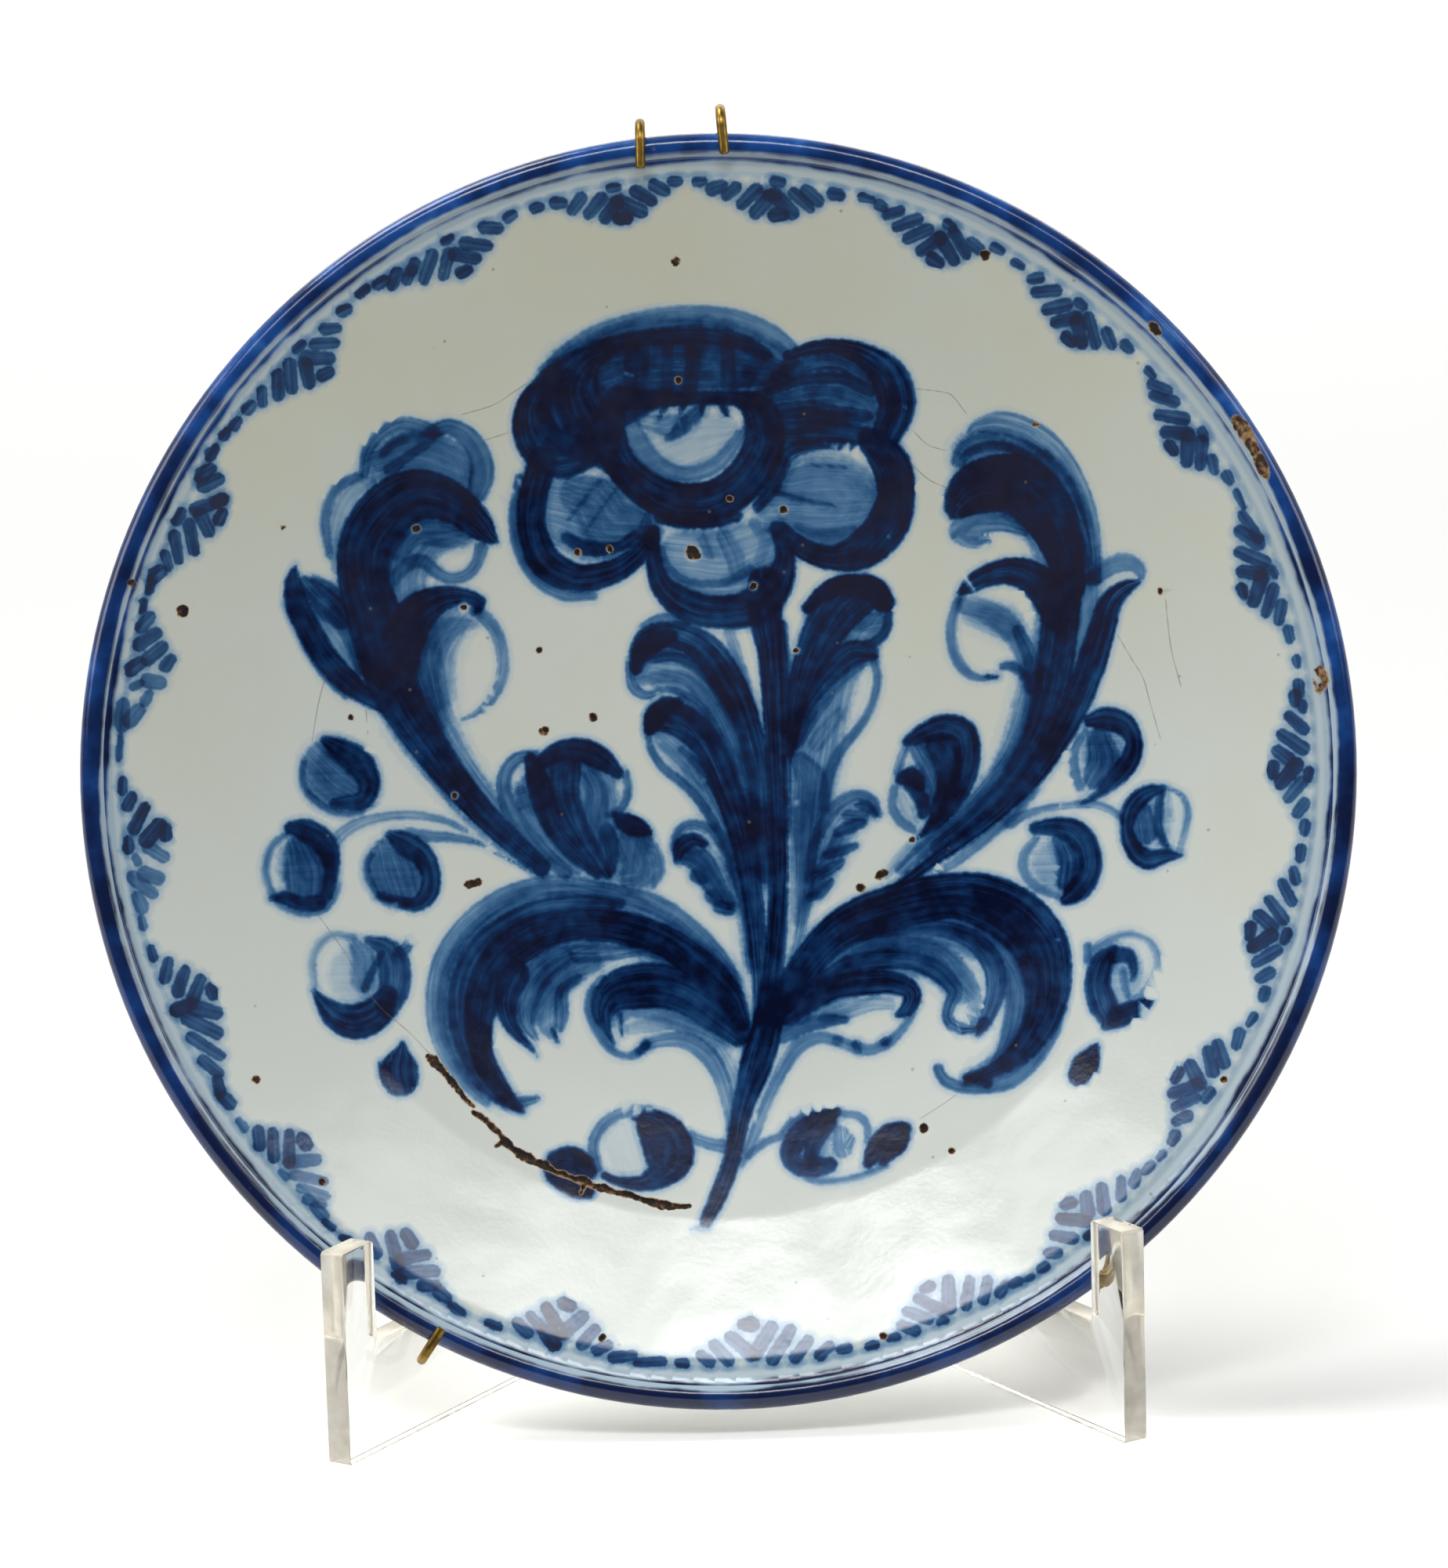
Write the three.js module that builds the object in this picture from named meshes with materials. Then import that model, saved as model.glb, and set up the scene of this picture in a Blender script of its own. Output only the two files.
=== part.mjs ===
// A painted earthenware plate held by a sprung wire hanger, standing in a stand of two crossed clear panels.
// Millimetres, +Z up, the painted face towards -Y, the origin on the table under the middle of the whole.
import * as THREE from 'three';

// Clearances
const seatGap = 0.3; // between pieces that rest on each other
const slotPlay = 0.3; // between a slot's wall and the panel in it

// Plate, as radii from its axis and depths behind the front of its lip
const plateRadius = 147.5;
const lipThickness = 5.6;
const lipStart = 35; // degrees of the lip's roll that sink into the hollow beside it
const hollowInset = 11; // from the rim in to where the flange turns into the hollow along the lip
const hollowDepth = 3.2;
const wellRadius = 104; // the soft edge between the flange and the well
const wellEdgeDepth = 16;
const floorRadius = 70;
const dishDepth = 27;
const floorDome = 1.2; // rise of the well's floor from its middle to its edge
const wallThickness = 6;
const baseThickness = 7;
const footRadius = 60.5; // middle of the foot ring
const footWidth = 6;
const footHeight = 4.5;
const footEdge = 0.7;
const footFlare = 1.2; // how much wider the ring's root is, on each side
const bellyShift = 4; // how far out the underside's fullest curve lies from halfway to the foot
const plateSides = 84;

// How the plate stands
const plateLean = 14; // degrees from upright
const rimBehindProng = 10.4; // from a prong's back edge to the rim, along the panel

// Wire hanger
const wireDiameter = 2.4;
const wireSides = 8;
const bendSteps = 8;
const hookInside = 6.9; // from the left panel's inner face in to the left lower hook, across
const hookOutside = 3.9; // from the right panel's outer face out to the right lower hook, across
const lowerLeftRise = 3.5; // from the rim to the inside of a hook's bend
const lowerRightRise = 5.3;
const lowerGrip = 4.2; // how far a lower hook's end reaches in over the lip
const upperTurn = 1.7; // degrees that the upper wire is turned, anticlockwise from the front
const upperSpread = 3.7; // degrees from the upper wire's middle line to each hook
const upperLeftRise = 2.1;
const upperRightRise = 4.4;
const upperLeftGrip = 7.5;
const upperRightGrip = 5.3;
const eyeOffset = 10; // from the hanger's middle line to each spring
const eyeBend = 3.5; // radius of the bend that a spring pulls on
const eyeSpan = 88; // between the middles of the upper and the lower bends
const loopHeight = 112; // from the plate's axis up to the middle of the loop that goes on the nail
const dipHeight = 62; // from the plate's axis down to the middle of the lower wire's dip
const cornerBend = 4; // radius where a wire turns over the foot ring

// Springs
const springWire = 0.9;
const springDiameter = 6.4; // over the curls
const springCurls = 24;
const springPitch = 1.9;
const curlSteps = 8;
const springSides = 5;
const springHookTurn = 250; // degrees of an end hook round the hanger's wire

// Stand
const panelThickness = 6;
const panelTurn = 58.4; // degrees between a panel and the plate's width
const frontSpacing = 177.4; // between the panels' front edges, inside
const panelLength = 205;
const prongLength = 12.8;
const prongHeight = 50.5;
const notchFloor = 26.3;
const notchFillet = 1.5;
const uprightHeight = 126;
const uprightTop = 15; // length of the upright's top edge
const uprightRound = 3;
const tailHeight = 14;
const cornerCut = 0.6; // the panels' polished outer corners

const degrees = Math.PI / 180;
const lipHalf = lipThickness / 2;
const wireRadius = wireDiameter / 2;
const wireStandOff = wireRadius + seatGap;

// The plate's outline from the axis along the front, over the lip and back along the underside.
// Depths here count from the middle of the lip.
function bend(start, control, end, steps) {
  const curve = new THREE.QuadraticBezierCurve(
    new THREE.Vector2(...start), new THREE.Vector2(...control), new THREE.Vector2(...end));
  return curve.getPoints(steps);
}

const footOuter = footRadius + footWidth / 2;
const footInner = footRadius - footWidth / 2;
const baseDepth = dishDepth - lipHalf + baseThickness;
const ringDepth = baseDepth + footHeight;
const lipCentre = plateRadius - lipHalf;
const hollowRadius = plateRadius - hollowInset;

function plateFront() {
  const floor = dishDepth - lipHalf;
  const edge = wellEdgeDepth - lipHalf;
  const hollow = hollowDepth - lipHalf;
  const lipInner = lipCentre - lipHalf * Math.cos(lipStart * degrees);
  const wellShoulder = (2 * wellRadius + floorRadius) / 3;
  const points = [
    ...bend([0, floor], [floorRadius * 0.6, floor], [floorRadius, floor - floorDome], 4),
    ...bend([floorRadius, floor - floorDome], [wellShoulder, floor - 2.4 * floorDome], [wellRadius, edge], 6),
    ...bend([wellRadius, edge], [(wellRadius + hollowRadius) / 2, (edge + hollow) / 2 + 0.4],
      [hollowRadius, hollow], 3),
    ...bend([hollowRadius, hollow], [lipInner - 1, hollow], [lipInner, -lipHalf * Math.sin(lipStart * degrees)], 3),
  ];
  return points;
}

function plateLip() {
  const arc = new THREE.EllipseCurve(lipCentre, 0, lipHalf, lipHalf, (lipStart - 180) * degrees, 100 * degrees);
  return arc.getPoints(8);
}

function plateBack() {
  const slope = (wellEdgeDepth - hollowDepth) / (hollowRadius - wellRadius);
  const wallDepth = wallThickness * Math.hypot(1, slope);
  const lipBack = [lipCentre + lipHalf * Math.cos(100 * degrees), lipHalf * Math.sin(100 * degrees)];
  const flangeTop = [hollowRadius - 1, hollowDepth - lipHalf + wallDepth];
  const flangeFoot = [wellRadius + 2, wellEdgeDepth - lipHalf + wallDepth];
  const root = [footOuter + footFlare, baseDepth - 0.2];
  const belly = [(wellRadius + footOuter) / 2 + bellyShift, baseDepth - 1];
  return [
    ...bend(lipBack, [lipCentre - 1.5, lipHalf + 0.6], flangeTop, 3),
    ...bend(flangeFoot, belly, root, 5),
    new THREE.Vector2(footOuter, ringDepth - footEdge),
    new THREE.Vector2(footOuter - footEdge, ringDepth),
    new THREE.Vector2(footInner + footEdge, ringDepth),
    new THREE.Vector2(footInner, ringDepth - footEdge),
    new THREE.Vector2(footInner - footFlare, baseDepth + 0.2),
    new THREE.Vector2(0, baseDepth),
  ];
}

function withoutRepeats(points) {
  return points.filter((point, index) => index === 0 || point.distanceTo(points[index - 1]) > 0.01);
}

// The lathe's own axis is Y, which is the plate's depth.
function plateGeometry() {
  const outline = withoutRepeats([...plateFront(), ...plateLip(), ...plateBack()]);
  return new THREE.LatheGeometry(outline, plateSides);
}

// A path through chosen points, with one step of a tube between each two of them.
class Route extends THREE.Curve {
  constructor(points) {
    super();
    this.points = points;
  }

  getPoint(t, target = new THREE.Vector3()) {
    const place = t * (this.points.length - 1);
    const index = Math.min(Math.floor(place), this.points.length - 2);
    return target.lerpVectors(this.points[index], this.points[index + 1], place - index);
  }

  getUtoTmapping(u) {
    return u;
  }
}

function tube(points, radius, sides) {
  const section = new THREE.Shape();
  for (let side = 0; side < sides; side += 1) {
    const angle = (2 * Math.PI * side) / sides;
    const corner = [radius * Math.cos(angle), radius * Math.sin(angle)];
    if (side === 0) section.moveTo(...corner);
    else section.lineTo(...corner);
  }
  section.closePath();
  const route = new Route(points);
  return new THREE.ExtrudeGeometry(section, {
    steps: points.length - 1, extrudePath: route, bevelEnabled: false,
  });
}

// Rounds each corner of a run of straight stretches with a bend of the given radius.
function rounded(corners, radius, steps) {
  const points = [corners[0]];
  for (let index = 1; index < corners.length - 1; index += 1) {
    const before = corners[index - 1].clone().sub(corners[index]);
    const after = corners[index + 1].clone().sub(corners[index]);
    const turn = Math.PI - before.angleTo(after);
    const reach = Math.min(radius * Math.tan(turn / 2), before.length() / 2, after.length() / 2);
    const start = corners[index].clone().addScaledVector(before.normalize(), reach);
    const end = corners[index].clone().addScaledVector(after.normalize(), reach);
    points.push(...new THREE.QuadraticBezierCurve3(start, corners[index], end).getPoints(steps));
  }
  points.push(corners[corners.length - 1]);
  return withoutRepeats(points);
}

// The taut wire's depth behind the lip at each radius: the underside's outline, moved out by
// the wire's own radius, with a string pulled tight over it from the lip to the foot ring.
function tautLine() {
  const outline = plateBack();
  const offset = [new THREE.Vector2(plateRadius, lipHalf + wireStandOff)];
  for (let index = 1; index < outline.length - 1; index += 1) {
    const point = outline[index];
    if (point.x > footRadius && point.x < lipCentre) {
      const along = outline[index + 1].clone().sub(outline[index - 1]).normalize();
      offset.push(new THREE.Vector2(point.x + along.y * wireStandOff, point.y - along.x * wireStandOff));
    }
  }
  offset.push(new THREE.Vector2(footOuter + wireStandOff / 2, ringDepth + wireStandOff));
  const line = [];
  for (const point of offset) {
    while (line.length > 1) {
      const [first, second] = line.slice(-2);
      const cross = (second.x - first.x) * (point.y - first.y) - (second.y - first.y) * (point.x - first.x);
      if (cross > 0) break;
      line.pop();
    }
    line.push(point);
  }
  return line;
}

// One end of a hanger wire, from its cut end over the lip to the bend that the spring pulls on.
// hookAt and eyeAt are places across the plate; rise and grip are measured at the rim.
function hookAndLeg(hookAt, eyeAt, rise, grip) {
  const along = hookAt.clone().sub(eyeAt);
  const length = along.length();
  along.normalize();
  const place = (distance, depth) => new THREE.Vector3(
    eyeAt.x + along.x * distance, depth, eyeAt.y + along.y * distance);
  const straddle = lipHalf + wireStandOff;
  const bendMiddle = length + rise + wireRadius - straddle;
  const points = [place(length - grip, -straddle)];
  for (let step = 0; step <= bendSteps; step += 1) {
    const angle = (Math.PI * step) / bendSteps;
    points.push(place(bendMiddle + straddle * Math.sin(angle), -straddle * Math.cos(angle)));
  }
  const corners = [place(bendMiddle, straddle)];
  for (const corner of tautLine().slice(1)) {
    const distance = distanceAtRadius(eyeAt, along, corner.x);
    corners.push(place(distance, corner.y));
  }
  corners.push(place(0, ringDepth + wireStandOff));
  points.push(...rounded(corners, cornerBend, 3).slice(1));
  return withoutRepeats(points);
}

// How far from a start a straight line reaches a given radius from the plate's axis.
function distanceAtRadius(start, along, radius) {
  const shift = start.dot(along);
  return -shift + Math.sqrt(shift * shift + radius * radius - start.lengthSq());
}

// An arc in the plane behind the foot ring.
function flatArc(middle, radius, from, to, steps) {
  const points = [];
  for (let step = 0; step <= steps; step += 1) {
    const place = onCircle(middle, radius, from + ((to - from) * step) / steps);
    points.push(new THREE.Vector3(place.x, ringDepth + wireStandOff, place.y));
  }
  return points;
}

// Where a straight leg from a far point touches a round bend, as an angle on the bend.
function touchAngle(far, middle, radius, side) {
  const away = far.clone().sub(middle);
  return Math.atan2(away.y, away.x) / degrees + (side * Math.acos(radius / away.length())) / degrees;
}

function onCircle(middle, radius, angle) {
  return new THREE.Vector2(
    middle.x + radius * Math.cos(angle * degrees), middle.y + radius * Math.sin(angle * degrees));
}

function rimPoint(side, spread, upward) {
  return new THREE.Vector2(
    side * plateRadius * Math.sin(spread * degrees), upward * plateRadius * Math.cos(spread * degrees));
}

// One wire: hook, leg, spring bend, middle bend, spring bend, leg, hook. The upper wire is a W,
// with the nail's loop in its middle, and the lower wire an M.
function hangerWire(upward, spread, middleAt, left, right) {
  const strand = eyeOffset - eyeBend;
  const ends = [-1, 1].map((side) => {
    const bendMiddle = new THREE.Vector2(side * eyeOffset, (upward * eyeSpan) / 2);
    const rim = rimPoint(side, spread, upward);
    const angle = touchAngle(rim, bendMiddle, eyeBend, -side * upward);
    const { rise, grip } = side < 0 ? left : right;
    return { bendMiddle, angle, leg: hookAndLeg(rim, onCircle(bendMiddle, eyeBend, angle), rise, grip) };
  });
  const [first, last] = ends;
  const inner = upward > 0 ? 360 : 0;
  return withoutRepeats([
    ...first.leg,
    ...flatArc(first.bendMiddle, eyeBend, first.angle, inner, bendSteps),
    ...flatArc(new THREE.Vector2(0, upward * middleAt), strand, 180, 360 - inner, bendSteps),
    ...flatArc(last.bendMiddle, eyeBend, -upward * 180, last.angle, bendSteps),
    ...last.leg.reverse(),
  ]);
}

function upperWire() {
  return hangerWire(1, upperSpread, loopHeight,
    { rise: upperLeftRise, grip: upperLeftGrip }, { rise: upperRightRise, grip: upperRightGrip });
}

function lowerWire() {
  return hangerWire(-1, lowerSpread, dipHeight,
    { rise: lowerLeftRise, grip: lowerGrip }, { rise: lowerRightRise, grip: lowerGrip });
}

// A place across the plate, turned anticlockwise about its axis as seen from the front.
function turned(x, up, turn) {
  const angle = turn * degrees;
  return new THREE.Vector3(
    x * Math.cos(angle) - up * Math.sin(angle),
    ringDepth + wireStandOff,
    x * Math.sin(angle) + up * Math.cos(angle));
}

// A spring is one wire: an end hook round the upper bend, a shank, the curls, and the same again
// round the lower bend. Its own frame has the spring's line along Z, from the lower bend at 0.
function springPoints(length) {
  const hookRadius = wireRadius + springWire / 2 + seatGap;
  const curlRadius = (springDiameter - springWire) / 2;
  const body = springCurls * springPitch;
  const start = (length - body) / 2;
  const hookSteps = 8;
  const hook = (middle, direction) => {
    const points = [];
    for (let step = 0; step <= hookSteps; step += 1) {
      const angle = (springHookTurn * degrees * step) / hookSteps;
      points.push(new THREE.Vector3(
        0, hookRadius * Math.cos(angle), middle + direction * hookRadius * Math.sin(angle)));
    }
    const last = springHookTurn * degrees;
    const tangent = new THREE.Vector3(0, -Math.sin(last), direction * Math.cos(last));
    points.push(points[hookSteps].clone().addScaledVector(tangent, springWire));
    return points;
  };
  const points = hook(0, -1).reverse();
  points.push(new THREE.Vector3(0, hookRadius, start - springPitch));
  for (let step = 0; step <= springCurls * curlSteps; step += 1) {
    const angle = (2 * Math.PI * step) / curlSteps;
    points.push(new THREE.Vector3(
      -curlRadius * Math.sin(angle), curlRadius * Math.cos(angle), start + (springPitch * step) / curlSteps));
  }
  points.push(new THREE.Vector3(0, hookRadius, length - start + springPitch));
  points.push(...hook(length, 1));
  return points;
}

// The least gap between two stretches of one tube, measured between points half a curl or more apart.
function leastGap(points, diameter) {
  let least = Infinity;
  for (let first = 0; first < points.length; first += 1) {
    for (let second = first + curlSteps / 2; second < points.length; second += 1) {
      least = Math.min(least, points[first].distanceTo(points[second]) - diameter);
    }
  }
  return least;
}

// The stand. s runs along a panel from its front edge; a panel is mirrored by side, 1 right, -1 left.
const panelSin = Math.sin(panelTurn * degrees);
const panelCos = Math.cos(panelTurn * degrees);
const leanSin = Math.sin(plateLean * degrees);
const leanCos = Math.cos(plateLean * degrees);
const crossing = (frontSpacing / 2 + (panelThickness / 2) * panelSin) / panelCos;
const crossingAngle = Math.PI - 2 * panelTurn * degrees;
const slotWidth = (panelThickness * (1 + Math.cos(crossingAngle))) / Math.sin(crossingAngle) + 2 * slotPlay;

// The rim meets a panel's inner face this far back, and this far from the plate's middle line.
const rimAlong = prongLength + rimBehindProng;
const rimAcross = frontSpacing / 2 - rimAlong * panelCos;
const plateY = rimAlong * panelSin + Math.sqrt(plateRadius ** 2 - rimAcross ** 2) * leanSin;

// The lower wire grips the rim inside the left panel and outside the right one, so it hangs turned.
const leftHookAngle = Math.asin((rimAcross - hookInside) / plateRadius) / degrees;
const rightHookAngle = Math.asin((rimAcross + panelThickness / panelSin + hookOutside) / plateRadius) / degrees;
const lowerSpread = (leftHookAngle + rightHookAngle) / 2;
const lowerTurn = (rightHookAngle - leftHookAngle) / 2;

// The plate's height is the least at which its lip clears both notch floors by the seat gap.
function plateHeight() {
  let height = 0;
  const around = 720;
  const across = 24;
  for (let turn = 0; turn < around; turn += 1) {
    const angle = (2 * Math.PI * turn) / around;
    for (let side = 0; side < across; side += 1) {
      const roll = (2 * Math.PI * side) / across;
      const radius = lipCentre + lipHalf * Math.cos(roll);
      const depth = lipHalf * Math.sin(roll);
      const x = radius * Math.sin(angle);
      const up = -radius * Math.cos(angle);
      const y = plateY + up * leanSin + depth * leanCos;
      const out = (Math.abs(x) - frontSpacing / 2) * panelSin + y * panelCos;
      if (up < 0 && out > -seatGap && out < panelThickness + seatGap) {
        height = Math.max(height, notchFloor + seatGap - up * leanCos + depth * leanSin);
      }
    }
  }
  return height;
}

const plateZ = plateHeight();

// Where the upright's front edge stands at a height, so that its inner corner clears the foot ring.
function uprightFront(height) {
  const y = plateY + (ringDepth + seatGap + (height - plateZ) * leanSin) / leanCos;
  return y / panelSin;
}

// backHeight is the height of the edge from the upright down to the tail, at a place along the panel.
function backHeight(s) {
  const top = uprightFront(uprightHeight) + uprightTop;
  return uprightHeight + ((tailHeight - uprightHeight) * (s - top)) / (panelLength - top);
}

function panelOutline(slotFromTop) {
  const slotBack = crossing + slotWidth / 2;
  const slotFront = crossing - slotWidth / 2;
  const middle = backHeight(crossing) / 2;
  const shape = new THREE.Shape();
  shape.moveTo(cornerCut, 0);
  if (!slotFromTop) {
    shape.lineTo(slotFront, 0);
    shape.lineTo(slotFront, middle + slotPlay / 2);
    shape.lineTo(slotBack, middle + slotPlay / 2);
    shape.lineTo(slotBack, 0);
  }
  shape.lineTo(panelLength - cornerCut, 0);
  shape.lineTo(panelLength, cornerCut);
  shape.lineTo(panelLength, tailHeight - cornerCut);
  shape.lineTo(panelLength - cornerCut, backHeight(panelLength - cornerCut));
  if (slotFromTop) {
    shape.lineTo(slotBack, backHeight(slotBack));
    shape.lineTo(slotBack, middle - slotPlay / 2);
    shape.lineTo(slotFront, middle - slotPlay / 2);
    shape.lineTo(slotFront, backHeight(slotFront));
  }
  const topFront = uprightFront(uprightHeight);
  const topBack = topFront + uprightTop;
  shape.lineTo(topBack + uprightRound, backHeight(topBack + uprightRound));
  shape.quadraticCurveTo(topBack, uprightHeight, topBack - uprightRound, uprightHeight);
  shape.lineTo(topFront + uprightRound, uprightHeight);
  shape.quadraticCurveTo(topFront, uprightHeight,
    uprightFront(uprightHeight - uprightRound), uprightHeight - uprightRound);
  shape.lineTo(uprightFront(notchFloor + notchFillet), notchFloor + notchFillet);
  shape.quadraticCurveTo(uprightFront(notchFloor), notchFloor, uprightFront(notchFloor) - notchFillet, notchFloor);
  shape.lineTo(prongLength + notchFillet, notchFloor);
  shape.quadraticCurveTo(prongLength, notchFloor, prongLength, notchFloor + notchFillet);
  shape.lineTo(prongLength, prongHeight - cornerCut);
  shape.lineTo(prongLength - cornerCut, prongHeight);
  shape.lineTo(cornerCut, prongHeight);
  shape.lineTo(0, prongHeight - cornerCut);
  shape.lineTo(0, cornerCut);
  shape.closePath();
  return shape;
}

// The outline is drawn with the distance along the panel as X and the height as Y.
function panelMesh(name, side, slotFromTop, material) {
  const geometry = new THREE.ExtrudeGeometry(panelOutline(slotFromTop), {
    depth: panelThickness, bevelEnabled: false, curveSegments: 4,
  });
  const along = new THREE.Vector3(-side * panelCos, panelSin, 0);
  const upward = new THREE.Vector3(0, 0, 1);
  const across = new THREE.Vector3().crossVectors(along, upward);
  const outward = new THREE.Vector3(side * panelSin, panelCos, 0);
  const corner = new THREE.Vector3((side * frontSpacing) / 2, 0, 0);
  if (side < 0) corner.addScaledVector(outward, panelThickness);
  const mesh = new THREE.Mesh(geometry, material);
  mesh.name = name;
  mesh.quaternion.setFromRotationMatrix(new THREE.Matrix4().makeBasis(along, upward, across));
  mesh.position.copy(corner);
  return mesh;
}

function acrylic() {
  return new THREE.MeshStandardMaterial({
    color: 0xe6e8e4, roughness: 0.05, metalness: 0, transparent: true, opacity: 0.35,
  });
}

function namedMesh(name, geometry, material) {
  const mesh = new THREE.Mesh(geometry, material);
  mesh.name = name;
  return mesh;
}

function springMesh(name, side, material) {
  const bendUp = eyeSpan / 2 - eyeBend;
  const lower = turned(side * eyeOffset, -bendUp, lowerTurn);
  const upper = turned(side * eyeOffset, bendUp, upperTurn);
  const line = upper.clone().sub(lower);
  const points = springPoints(line.length());
  const gap = leastGap(points, springWire);
  console.log(`${name}: least gap between turns ${gap.toFixed(2)} mm`);
  const mesh = namedMesh(name, tube(points, springWire / 2, springSides), material);
  mesh.position.copy(lower);
  mesh.rotation.y = Math.atan2(line.x, line.z);
  return mesh;
}

const glaze = new THREE.MeshStandardMaterial({ color: 0xdcdfdc, roughness: 0.15, metalness: 0 });
const brass = new THREE.MeshStandardMaterial({ color: 0xa88a4a, roughness: 0.3, metalness: 1 });
const steel = new THREE.MeshStandardMaterial({ color: 0xb9b4a4, roughness: 0.35, metalness: 1 });

const plate = namedMesh('plate', plateGeometry(), glaze);
const upper = namedMesh('hanger_upper_wire', tube(upperWire(), wireRadius, wireSides), brass.clone());
upper.rotation.y = -upperTurn * degrees;
const lower = namedMesh('hanger_lower_wire', tube(lowerWire(), wireRadius, wireSides), brass.clone());
lower.rotation.y = -lowerTurn * degrees;

const hungPlate = new THREE.Group();
hungPlate.add(plate, upper, lower);
hungPlate.add(springMesh('hanger_spring_left', -1, steel.clone()));
hungPlate.add(springMesh('hanger_spring_right', 1, steel.clone()));
hungPlate.position.set(0, plateY, plateZ);
hungPlate.rotation.x = -plateLean * degrees;

const standDepth = panelLength * panelSin + panelThickness * panelCos;
const group = new THREE.Group();
group.add(hungPlate);
group.add(panelMesh('stand_panel_left', -1, true, acrylic()));
group.add(panelMesh('stand_panel_right', 1, false, acrylic()));
group.position.y = -standDepth / 2;

export default group;
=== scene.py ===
"""A painted earthenware plate on its wire hanger, standing in a stand of two crossed clear panels.

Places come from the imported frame, in metres. Sizes in the script are millimetres unless a name says otherwise.
The plate is modelled and painted in its own plane, across and up from its middle, and then leaned back.
"""

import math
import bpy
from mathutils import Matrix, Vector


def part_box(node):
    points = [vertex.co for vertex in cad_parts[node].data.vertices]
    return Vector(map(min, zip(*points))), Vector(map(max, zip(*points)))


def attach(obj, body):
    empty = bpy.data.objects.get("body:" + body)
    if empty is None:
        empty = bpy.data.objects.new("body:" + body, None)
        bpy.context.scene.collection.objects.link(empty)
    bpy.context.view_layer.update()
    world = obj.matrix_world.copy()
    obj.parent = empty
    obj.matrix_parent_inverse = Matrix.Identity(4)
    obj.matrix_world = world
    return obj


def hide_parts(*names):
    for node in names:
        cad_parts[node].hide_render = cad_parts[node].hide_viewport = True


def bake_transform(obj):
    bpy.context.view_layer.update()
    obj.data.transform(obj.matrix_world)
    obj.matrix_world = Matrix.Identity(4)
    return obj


bl_info = {
    "name": "Painted plate on a clear stand",
    "version": (1, 0, 0),
    "blender": (4, 5, 0),
    "location": "3D View > Sidebar > Plate",
    "description": "Models a blue painted plate, its wire hanger and its clear stand",
    "category": "Add Mesh",
}

import bmesh
import bpy
import numpy as np
from mathutils import Matrix, Vector

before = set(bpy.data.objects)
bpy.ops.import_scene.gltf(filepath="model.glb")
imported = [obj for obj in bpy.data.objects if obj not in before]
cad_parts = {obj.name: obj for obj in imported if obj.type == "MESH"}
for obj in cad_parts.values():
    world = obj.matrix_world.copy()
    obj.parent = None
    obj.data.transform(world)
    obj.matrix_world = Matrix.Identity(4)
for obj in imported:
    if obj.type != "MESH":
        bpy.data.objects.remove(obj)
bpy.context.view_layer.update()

MM = 0.001
PLATE_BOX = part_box("plate")
LEAN = math.radians(14)
PLATE_MIDDLE = Vector((0, -38.611, 149.373)) * MM
TO_WORLD = Matrix.Translation(PLATE_MIDDLE) @ Matrix.Rotation(math.pi / 2 - LEAN, 4, "X")

# The plate's outline, in mm: radii, and depths behind the front of its lip
HOLLOW_INSET = 11
HOLLOW_DEPTH = 3.2
FLANGE_SAG = 0.4
WELL_RADIUS = 104
WELL_EDGE_DEPTH = 16
WALL_BENDS = ((60, 0.9), (71, 1.3), (82, 4.4), (93, 7.6))  # radii, and rises above the middle of the floor
FLOOR_BEND = 36
LIP_START, LIP_END = 35, 100  # where its rounding starts, in degrees from inwards, and ends, from outwards
BASE_THICKNESS = 7
FOOT_RADIUS = 60.5
FOOT_WIDTH = 6
FOOT_HEIGHT = 4.5
FOOT_EDGE = 0.7
FOOT_FLARE = 1.2
BELLY_SHIFT = 4


def linear(code, alpha=1.0):
    """An sRGB hex colour as linear red, green, blue and alpha."""
    parts = [int(code[i : i + 2], 16) / 255 for i in (0, 2, 4)]
    return [p / 12.92 if p <= 0.04045 else ((p + 0.055) / 1.055) ** 2.4 for p in parts] + [alpha]


def node(tree, kind, inputs=None, **settings):
    """Adds a shader node with its settings. An input given as a socket, or as a node for its first output, is
    linked, and any other value is set."""
    made = tree.nodes.new(f"ShaderNode{kind}")
    for name, value in settings.items():
        setattr(made, name, value)
    for key, value in (inputs or {}).items():
        if isinstance(value, bpy.types.Node):
            value = value.outputs[0]
        if isinstance(value, bpy.types.NodeSocket):
            tree.links.new(value, made.inputs[key])
        else:
            made.inputs[key].default_value = value
    return made


def new_material(name):
    """An empty node material and its tree."""
    material = bpy.data.materials.new(name)
    material.use_nodes = True
    material.node_tree.nodes.clear()
    return material, material.node_tree


def only(obj):
    """Selects one object and nothing else."""
    bpy.ops.object.select_all(action="DESELECT")
    obj.select_set(True)
    bpy.context.view_layer.objects.active = obj


def finish_place(obj):
    """Puts an object's place into its mesh."""
    only(obj)
    bpy.ops.object.transform_apply(location=True, rotation=True, scale=True)


def length_setting(name, description, default):
    """A length that the panel shows."""
    return bpy.props.FloatProperty(name=name, description=description, default=default, unit="LENGTH")


def colour_setting(name, description, code):
    """A colour that the panel shows."""
    return bpy.props.FloatVectorProperty(
        name=name, description=description, default=linear(code), subtype="COLOR", size=4, min=0, max=1)


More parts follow.
